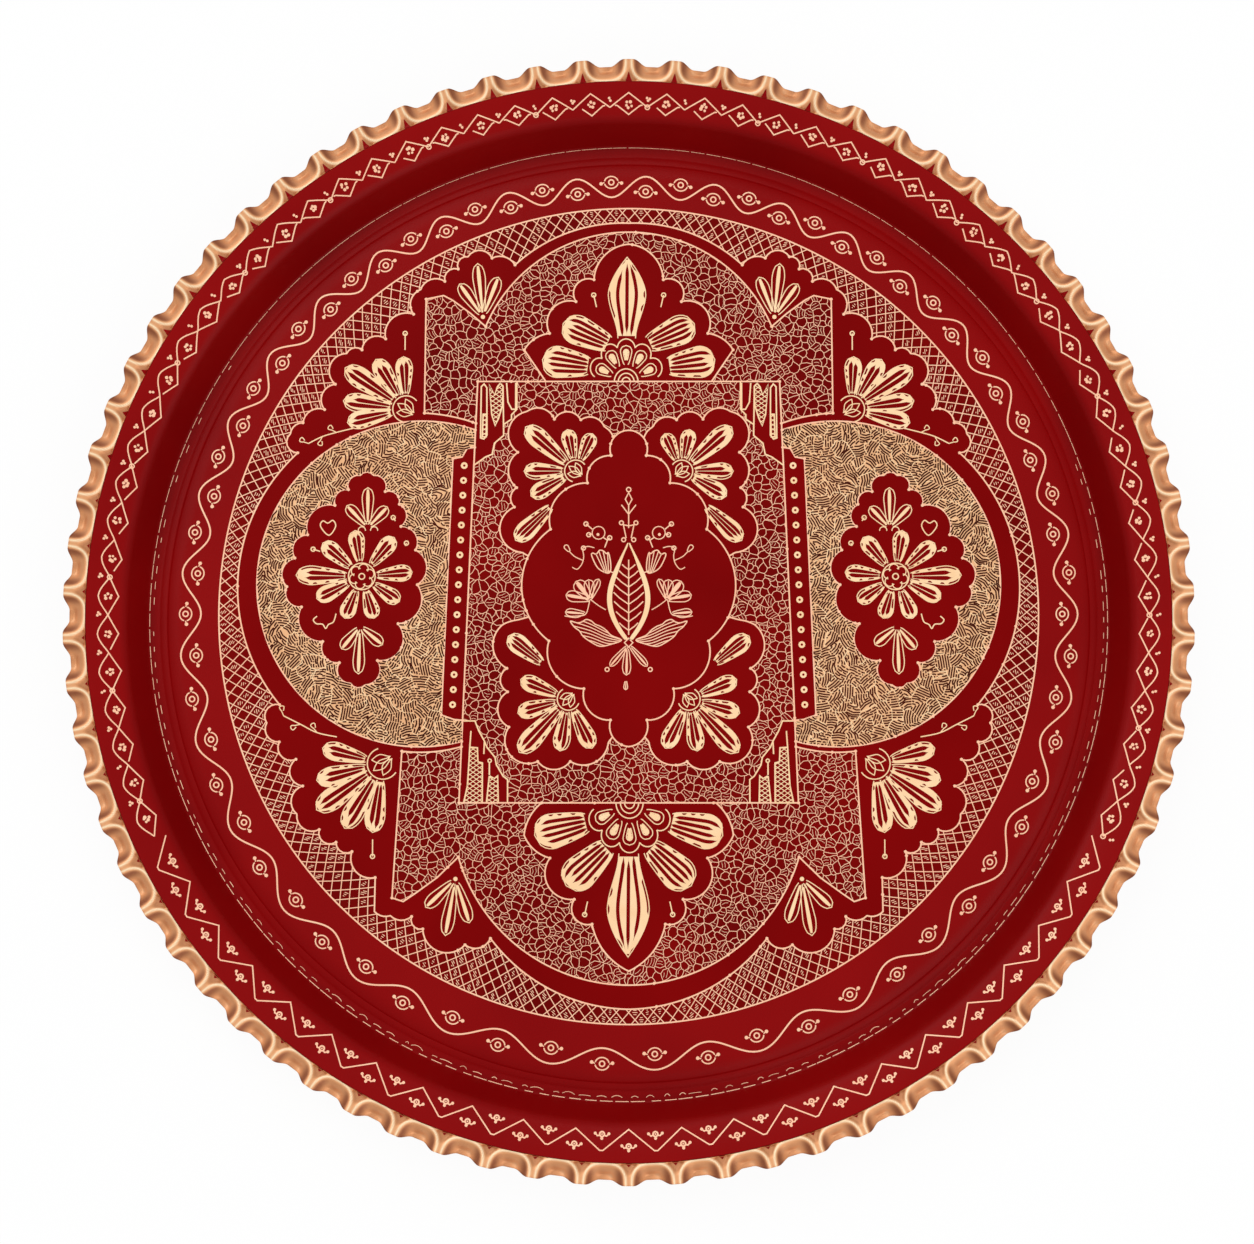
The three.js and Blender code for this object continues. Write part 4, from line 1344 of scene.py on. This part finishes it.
MIDDLE_LINES = [[(0, 21), (0, -6)], [(0, 32.4), (0, 40.6)]]
DIAMONDS = [
    [(0, 45.2), (-1.2, 42.8), (0, 40.6), (1.2, 42.8)], [(0, -7.2), (-1.5, -8.8), (0, -10.4), (1.5, -8.8)],
]


def make_medallion_drop():
    """The two broad sides of a boteh, a drop that leans to neither side."""
    ink = Engraving()
    along = np.linspace(*DROP_SPAN, 25)
    height = DROP_TOP - DROP_LENGTH * along
    half = DROP_HALF * np.sin(np.pi * along ** DROP_SKEW) ** DROP_FULLNESS + DROP_NECK
    band = BAND_NARROW + BAND_GROWTH * smooth(*BAND_GROWS, along)
    outer = np.column_stack([-half, height])
    inner = np.column_stack([-np.maximum(half - band, BAND_GAP), height])
    for _ in ink.both_sides():
        ink.blade(inner, outer)
    ink.make("medallion_drop")


def make_medallion_flower():
    """The drop's leaf-like filling, with flowers and leaves on either side, a finial and three pods."""
    ink = Engraving()
    leaf, tulip = rounded(LEAF, True), rounded(TULIP, True)
    fills = clipped(LEAF_VEINS, Region(leaf)) + clipped(TULIP_STRIPES, Region(tulip))
    for _ in ink.both_sides():
        for y in RIB_HEIGHTS:
            reach = FILLING_HALF * math.sin(math.pi * ((FILLING_TOP - y) / FILLING_LENGTH) ** DROP_SKEW)
            ink.stroke([(reach * out, y + reach * up) for out, up in RIB])
        ink.stroke(leaf, LINE, True)
        ink.stroke(tulip, LINE, True)
        ink.strokes(fills, FINE)
        ink.strokes(map(rounded, TENDRILS), FINE)
        ink.strokes(STEMS)
        for foot, head in BUDDED_TWIGS:
            twig(ink, foot, head)
        for centre in BUD_RINGS:
            ink.ring(centre, BUD_RING_RADIUS)
        ink.petal_outline(*TENDRIL_BUD)
        ink.ring(FRUIT, FRUIT_RADIUS, FINE, 16)
        ink.dot(FRUIT_SEED)
        for tip, width, rib in BLOSSOM:
            ink.open_petal(BLOSSOM_FOOT, tip, width, rib)
        for base, tip, width in SIDE_PODS:
            ink.open_petal(base, tip, width)
    ink.strokes(MIDDLE_LINES)
    for corners in DIAMONDS:
        ink.stroke(corners, LINE, True)
    ink.ring(*FINIAL_RING)
    for base, tip, width in MIDDLE_PODS:
        ink.open_petal(base, tip, width)
    ink.make("medallion_flower", fine_copper)


STRIP_DOTS, STRIP_DOT_RADIUS, STRIP_DOT_WIDTH = 17, 0.85, 0.75
STRIP_TOP, STRIP_BOTTOM = (-59, 55), (-62.8, -31)


def make_strips():
    ink = Engraving()
    for _ in ink.both_sides():
        for centre in np.linspace(STRIP_TOP, STRIP_BOTTOM, STRIP_DOTS):
            ink.ring(centre, STRIP_DOT_RADIUS, STRIP_DOT_WIDTH, 10)
    ink.make("strip_dots")


# The vine, the border's chain and the dashes in the moat

VINE_WAVES, VINE_RADIUS, VINE_SWING, VINE_WIDTH = 33, 156.7, 3.8, 0.58
VINE_CROWDING, VINE_WAVE_POINTS, PHASE_STEPS = 0.2, 24, 12
# The eyes' places in and out, their lids, and the ring and the buds of each
EYE_RADII = (155.0, 158.4)
LID_HALF, LID_HEIGHT, LID_WIDTH = 2.5, 2.2, 0.46
LID_TURNS = np.linspace(0.22, math.pi - 0.22, 11)
PUPIL_RADIUS = 0.95
EYE_BUD_REACH, EYE_BUD_DROP, EYE_BUD_RADIUS = 3.7, 0.4, 0.66
CHAIN_RADIUS, CHAIN_SWING, CHAIN_WIDTH = 184.4, 3.7, 0.46
DIAMOND_COUNT, ZIGZAG_COUNT, ZIGZAG_SHARE = 86, 62, 0.36
ZIGZAG_BLUNT, ZIGZAG_FLOWER_SHIFT = 0.003, 2.0
CHAIN_SEED, DASH_SEED = 31, 51
PEAK_SHARES, REACH_SHARES = (0.9, 1.05), (0.92, 1.04)
# Diamonds touch each other from the second of these angles on, and are apart up to the first
TOUCHING_ANGLES = (0.5, 1.1)
DIAMOND_VALLEY, INNER_VALLEY, DIAMOND_BOW, DIAMOND_ROUNDING = 0.32, 0.4, 1.2, 0.8
INNER_HALF, INNER_GROWTH = 0.37, 0.13
SMALL_FLOWER_PETALS, SMALL_FLOWER_WANDER, SMALL_FLOWER_TURN = 5, 0.4, 0.25
SMALL_PETAL_REACHES, SMALL_PETAL_RADII = (0.7, 1.25), (0.42, 0.66)
SIDE_BUD_SHIFT = 1.6
# Steps outwards and along the border from a flower's middle
SIDE_DOTS = ((-0.5, 0.2), (0.4, -0.2), (0.1, 0.8))
WING, BUD_SHIFT = ((0.4, 0.8), (0.6, 1.6), (-0.2, 2.4)), 1.45
DASH_COUNT, DASH_HEIGHT, DASH_WIDTH, DASH_GAPS = 190, 0.05, 0.13, (0.05, 0.35)
DASH_RADIUS, ARCH_RADIUS = FOOT_LINE_RADIUS + 0.4, FOOT_LINE_RADIUS - 1.0
ARCH_WIDTHS, ARCH_HEIGHTS = (0.16, 0.26), (0.1, 0.9)
# How far down the tray the arched dashes begin, and how far down they rise
ARCHES_BEGIN, ARCHES_RISE = (0.15, 0.6), (0.7, 1)


def vine_phase(angle):
    """The vine's waves are closer together towards the top."""
    return VINE_WAVES * (angle + VINE_CROWDING * np.sin(angle))


def make_vine():
    ink = Engraving()
    angles = np.linspace(FULL_TURN, 0, VINE_WAVES * VINE_WAVE_POINTS, endpoint=False)
    ink.stroke(polar(VINE_RADIUS + VINE_SWING * np.sin(vine_phase(angles)), angles), VINE_WIDTH, True)
    for k in range(2 * VINE_WAVES):
        target = math.pi * (k + 0.5)
        angle = target / VINE_WAVES
        for _ in range(PHASE_STEPS):
            angle += (target - vine_phase(angle)) / (VINE_WAVES * (1 + VINE_CROWDING * math.cos(angle)))
        eye_flower(ink, polar(EYE_RADII[k % 2], angle), angle)
    ink.make("vine", fine_copper)


def eye_flower(ink, centre, angle):
    """An eye of two lids round a ring, with a bud at either corner."""
    across, out = ray(-angle), polar(1.0, angle)
    for sense in (1, -1):
        lid = centre + np.outer(LID_HALF * np.cos(LID_TURNS), across)
        ink.stroke(lid + np.outer(sense * LID_HEIGHT * np.sin(LID_TURNS), out), LID_WIDTH)
    ink.ring(centre, PUPIL_RADIUS, BOLD)
    for side in (-1, 1):
        end = centre + across * side * EYE_BUD_REACH - out * EYE_BUD_DROP
        ink.stroke([centre + across * side * LID_HALF, end])
        ink.dot(end, EYE_BUD_RADIUS)


def make_chain():
    """Diamonds with a flower in each. Along the lowest third, a zigzag with flowers on both sides."""
    ink, rng = Engraving(), random.Random(CHAIN_SEED)
    pitch = FULL_TURN / DIAMOND_COUNT
    count = int(math.pi * (1 - ZIGZAG_SHARE) / pitch)
    for k in range(-count, count + 1):
        diamond(ink, k * pitch, pitch, k % 3 == 0, rng)
    start = (count + 0.6) * pitch
    steps = 2 * round((FULL_TURN - 2 * start) / (FULL_TURN / ZIGZAG_COUNT))
    line = []
    for k, angle in enumerate(np.linspace(start, FULL_TURN - start, steps + 1)):
        outer = k % 2 == 1
        peak = CHAIN_SWING * rng.uniform(*PEAK_SHARES) * (1 if outer else -1)
        blunt = ZIGZAG_BLUNT * outer
        line += [polar(CHAIN_RADIUS + peak, turn) for turn in sorted({angle - blunt, angle + blunt})]
        if 0 < k < steps:
            shift = -ZIGZAG_FLOWER_SHIFT if outer else ZIGZAG_FLOWER_SHIFT
            budded_flower(ink, CHAIN_RADIUS + shift, angle)
    ink.stroke(line[::-1], CHAIN_WIDTH)
    ink.make("border_chain", fine_copper)


def diamond(ink, angle, pitch, ringed, rng):
    """A diamond of the chain: pointed near the top of the tray, rounder and broader further down."""
    touching = smooth(*TOUCHING_ANGLES, abs(angle))
    valley = DIAMOND_VALLEY * (1 - touching)
    turns = np.linspace(1, -1, 13)
    straight, curved = 1 - np.abs(turns), np.cos(turns * math.pi / 2) ** DIAMOND_BOW
    bow = straight + (curved - straight) * touching * DIAMOND_ROUNDING
    reach = CHAIN_SWING * rng.uniform(*REACH_SHARES)
    left_out = rng.choice((0, 1, 2))
    outer = polar(CHAIN_RADIUS + reach * (bow * (1 + valley) - valley), angle + pitch / 2 * turns)
    half = pitch * (INNER_HALF + INNER_GROWTH * touching)
    inner = polar(CHAIN_RADIUS - reach * np.maximum(straight, valley * INNER_VALLEY), angle + half * turns)
    ink.stroke(outer, CHAIN_WIDTH)
    ink.stroke(inner[:len(inner) - left_out], CHAIN_WIDTH)
    wander = rng.uniform(-SMALL_FLOWER_WANDER, SMALL_FLOWER_WANDER)
    small_flower(ink, polar(CHAIN_RADIUS + wander, angle), rng)
    between = angle + pitch / 2
    side_bud(ink, CHAIN_RADIUS + SIDE_BUD_SHIFT + SIDE_BUD_SHIFT * touching, between, rng)
    if ringed:
        ink.ring(polar(CHAIN_RADIUS - reach * valley, between), radius=0.8)


def small_flower(ink, centre, rng):
    """Five petals of uneven size."""
    start = rng.uniform(0, FULL_TURN)
    for k in range(SMALL_FLOWER_PETALS):
        turn = rng.uniform(-SMALL_FLOWER_TURN, SMALL_FLOWER_TURN)
        angle = start + FULL_TURN * k / SMALL_FLOWER_PETALS + turn
        ink.dot(centre + rng.uniform(*SMALL_PETAL_REACHES) * ray(angle), rng.uniform(*SMALL_PETAL_RADII))


def side_bud(ink, radius, angle, rng):
    """Two or three dots beside the chain."""
    for out, along in SIDE_DOTS[:rng.choice((2, 3))]:
        ink.dot(polar(radius + out, angle + along / radius), radius=0.48)


def budded_flower(ink, radius, angle):
    """A ring with a wing on either side and a bud under it."""
    centre = polar(radius, angle)
    ink.ring(centre, radius=0.85, width=0.55)
    ink.dot(centre, radius=0.32)
    for side in (-1, 1):
        wing = [polar(radius + out, angle + side * along / radius) for out, along in WING]
        ink.stroke(wing, BOLD)
        ink.dot(wing[-1])
    ink.dot(polar(radius + BUD_SHIFT, angle))


def make_dashes():
    """A fine broken line in the moat, heavier at the bottom. Arched dashes inside it fade out upwards."""
    ink, rng = Engraving(DASH_HEIGHT), random.Random(DASH_SEED)
    pitch = FULL_TURN / DASH_COUNT
    along = np.linspace(0, 1, 5)
    for k in range(DASH_COUNT):
        down = 0.5 - 0.5 * math.cos(k * pitch)
        length = pitch * (1 - rng.uniform(*DASH_GAPS) * (0.4 + down))
        ink.stroke(polar(DASH_RADIUS, k * pitch + length * along), DASH_WIDTH + DASH_WIDTH * down)
        if rng.random() < smooth(*ARCHES_BEGIN, down):
            length = pitch * rng.uniform(0.2, 0.35 + 0.5 * down)
            arch = rng.uniform(*ARCH_HEIGHTS) * smooth(*ARCHES_RISE, down) * 4 * along * (1 - along)
            dash = polar(ARCH_RADIUS - arch, (k + 0.4) * pitch + length * along)
            ink.stroke(dash, rng.uniform(*ARCH_WIDTHS))
    ink.make("moat_dashes", fine_copper)


# Everything on the tray

COAT_OVERHANG = 0.1

make_pan()
make_coat("border_coat", FOOT_LINE_RADIUS, PAN_RADIUS + COAT_OVERHANG, "border_lacquer", "border_lacquer")
make_coat("vine_coat", FIELD_RADIUS, FOOT_LINE_RADIUS, "vine_lacquer", "vine_band_lacquer", FIELD_OFFSET)
make_rim()
make_spandrels()
make_fields()
make_outlines()
make_grounds()
make_lattice()
make_panel_corners()
make_flowers()
make_medallion_drop()
make_medallion_flower()
make_strips()
make_vine()
make_chain()
make_dashes()

solder_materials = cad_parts["rim_solder_seam"].data.materials
solder_materials.clear()
solder_materials.append(dull_solder)


# Stage, light and camera

FLOOR_HALF, FLOOR_DROP, FLOOR_GLOW = 6.0, 0.0005, 0.93
SKY_STRENGTH = 0.6
# Place, size and power of each lamp
LAMPS = {"key": ((-1.0, 1.4, 1.9), 2.4, 31), "fill": ((1.3, -1.2, 1.5), 2.0, 19)}
CAMERA_ELEVATION, CAMERA_DISTANCE, CAMERA_LENS = math.radians(84.65), 1.246, 101.3
CAMERA_AIM = Vector((-0.0006, -0.0028, CREST_HEIGHT * MM))


def put(name, data):
    """Puts a light, a camera or a mesh into the scene."""
    thing = bpy.data.objects.new(name, data)
    bpy.context.scene.collection.objects.link(thing)
    return thing


def aim(thing, place, target):
    thing.location = place
    thing.rotation_euler = (target - place).to_track_quat("-Z", "Y").to_euler()


def make_floor():
    """A pale floor. The camera sees it almost white, with what is left of the tray's shadow."""
    mesh = bpy.data.meshes.new("floor")
    corners = [(-1, -1), (1, -1), (1, 1), (-1, 1)]
    mesh.from_pydata([(x * FLOOR_HALF, y * FLOOR_HALF, -FLOOR_DROP) for x, y in corners], [], [(0, 1, 2, 3)])
    material, shader = new_material("floor", Base_Color=(0.9, 0.9, 0.9, 1), Roughness=0.9)
    glow = add_node(material, "ShaderNodeEmission", Strength=1.0)
    path = add_node(material, "ShaderNodeLightPath")
    seen = add_node(material, "ShaderNodeMath", operation="MAXIMUM")
    share = add_node(material, "ShaderNodeMath", operation="MULTIPLY")
    share.inputs[1].default_value = FLOOR_GLOW
    mix = add_node(material, "ShaderNodeMixShader")
    surface = material.node_tree.nodes["Material Output"]
    for source, output, target, socket in (
        (path, "Is Camera Ray", seen, 0), (path, "Is Glossy Ray", seen, 1), (seen, "Value", share, 0),
        (share, "Value", mix, "Fac"), (shader, "BSDF", mix, 1), (glow, "Emission", mix, 2),
        (mix, "Shader", surface, "Surface"),
    ):
        link(material, source.outputs[output], target.inputs[socket])
    mesh.materials.append(material)
    put("floor", mesh)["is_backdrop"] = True


def make_lamp(name, place, size, power):
    lamp = bpy.data.lights.new(name, "AREA")
    lamp.size = size
    lamp.energy = power
    aim(put(name, lamp), Vector(place), Vector((0, 0, 0)))


def make_world():
    world = bpy.data.worlds.new("studio")
    world.use_nodes = True
    background = world.node_tree.nodes["Background"]
    background.inputs["Color"].default_value = (1, 1, 1, 1)
    background.inputs["Strength"].default_value = SKY_STRENGTH
    bpy.context.scene.world = world


def make_camera():
    """Almost straight above, from the photograph's side of the tray."""
    camera = bpy.data.cameras.new("camera")
    camera.sensor_width = 36
    camera.lens = CAMERA_LENS
    back = Vector((0, -math.cos(CAMERA_ELEVATION), math.sin(CAMERA_ELEVATION)))
    holder = put("camera", camera)
    aim(holder, CAMERA_AIM + back * CAMERA_DISTANCE, CAMERA_AIM)
    bpy.context.scene.camera = holder


make_floor()
make_world()
for lamp_name, settings in LAMPS.items():
    make_lamp(lamp_name, *settings)
make_camera()
bpy.context.scene.view_settings.view_transform = "Standard"

boxes = {"cad": cad_box, "visual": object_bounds()}
{name: [list(corner) for corner in box] for name, box in boxes.items()}
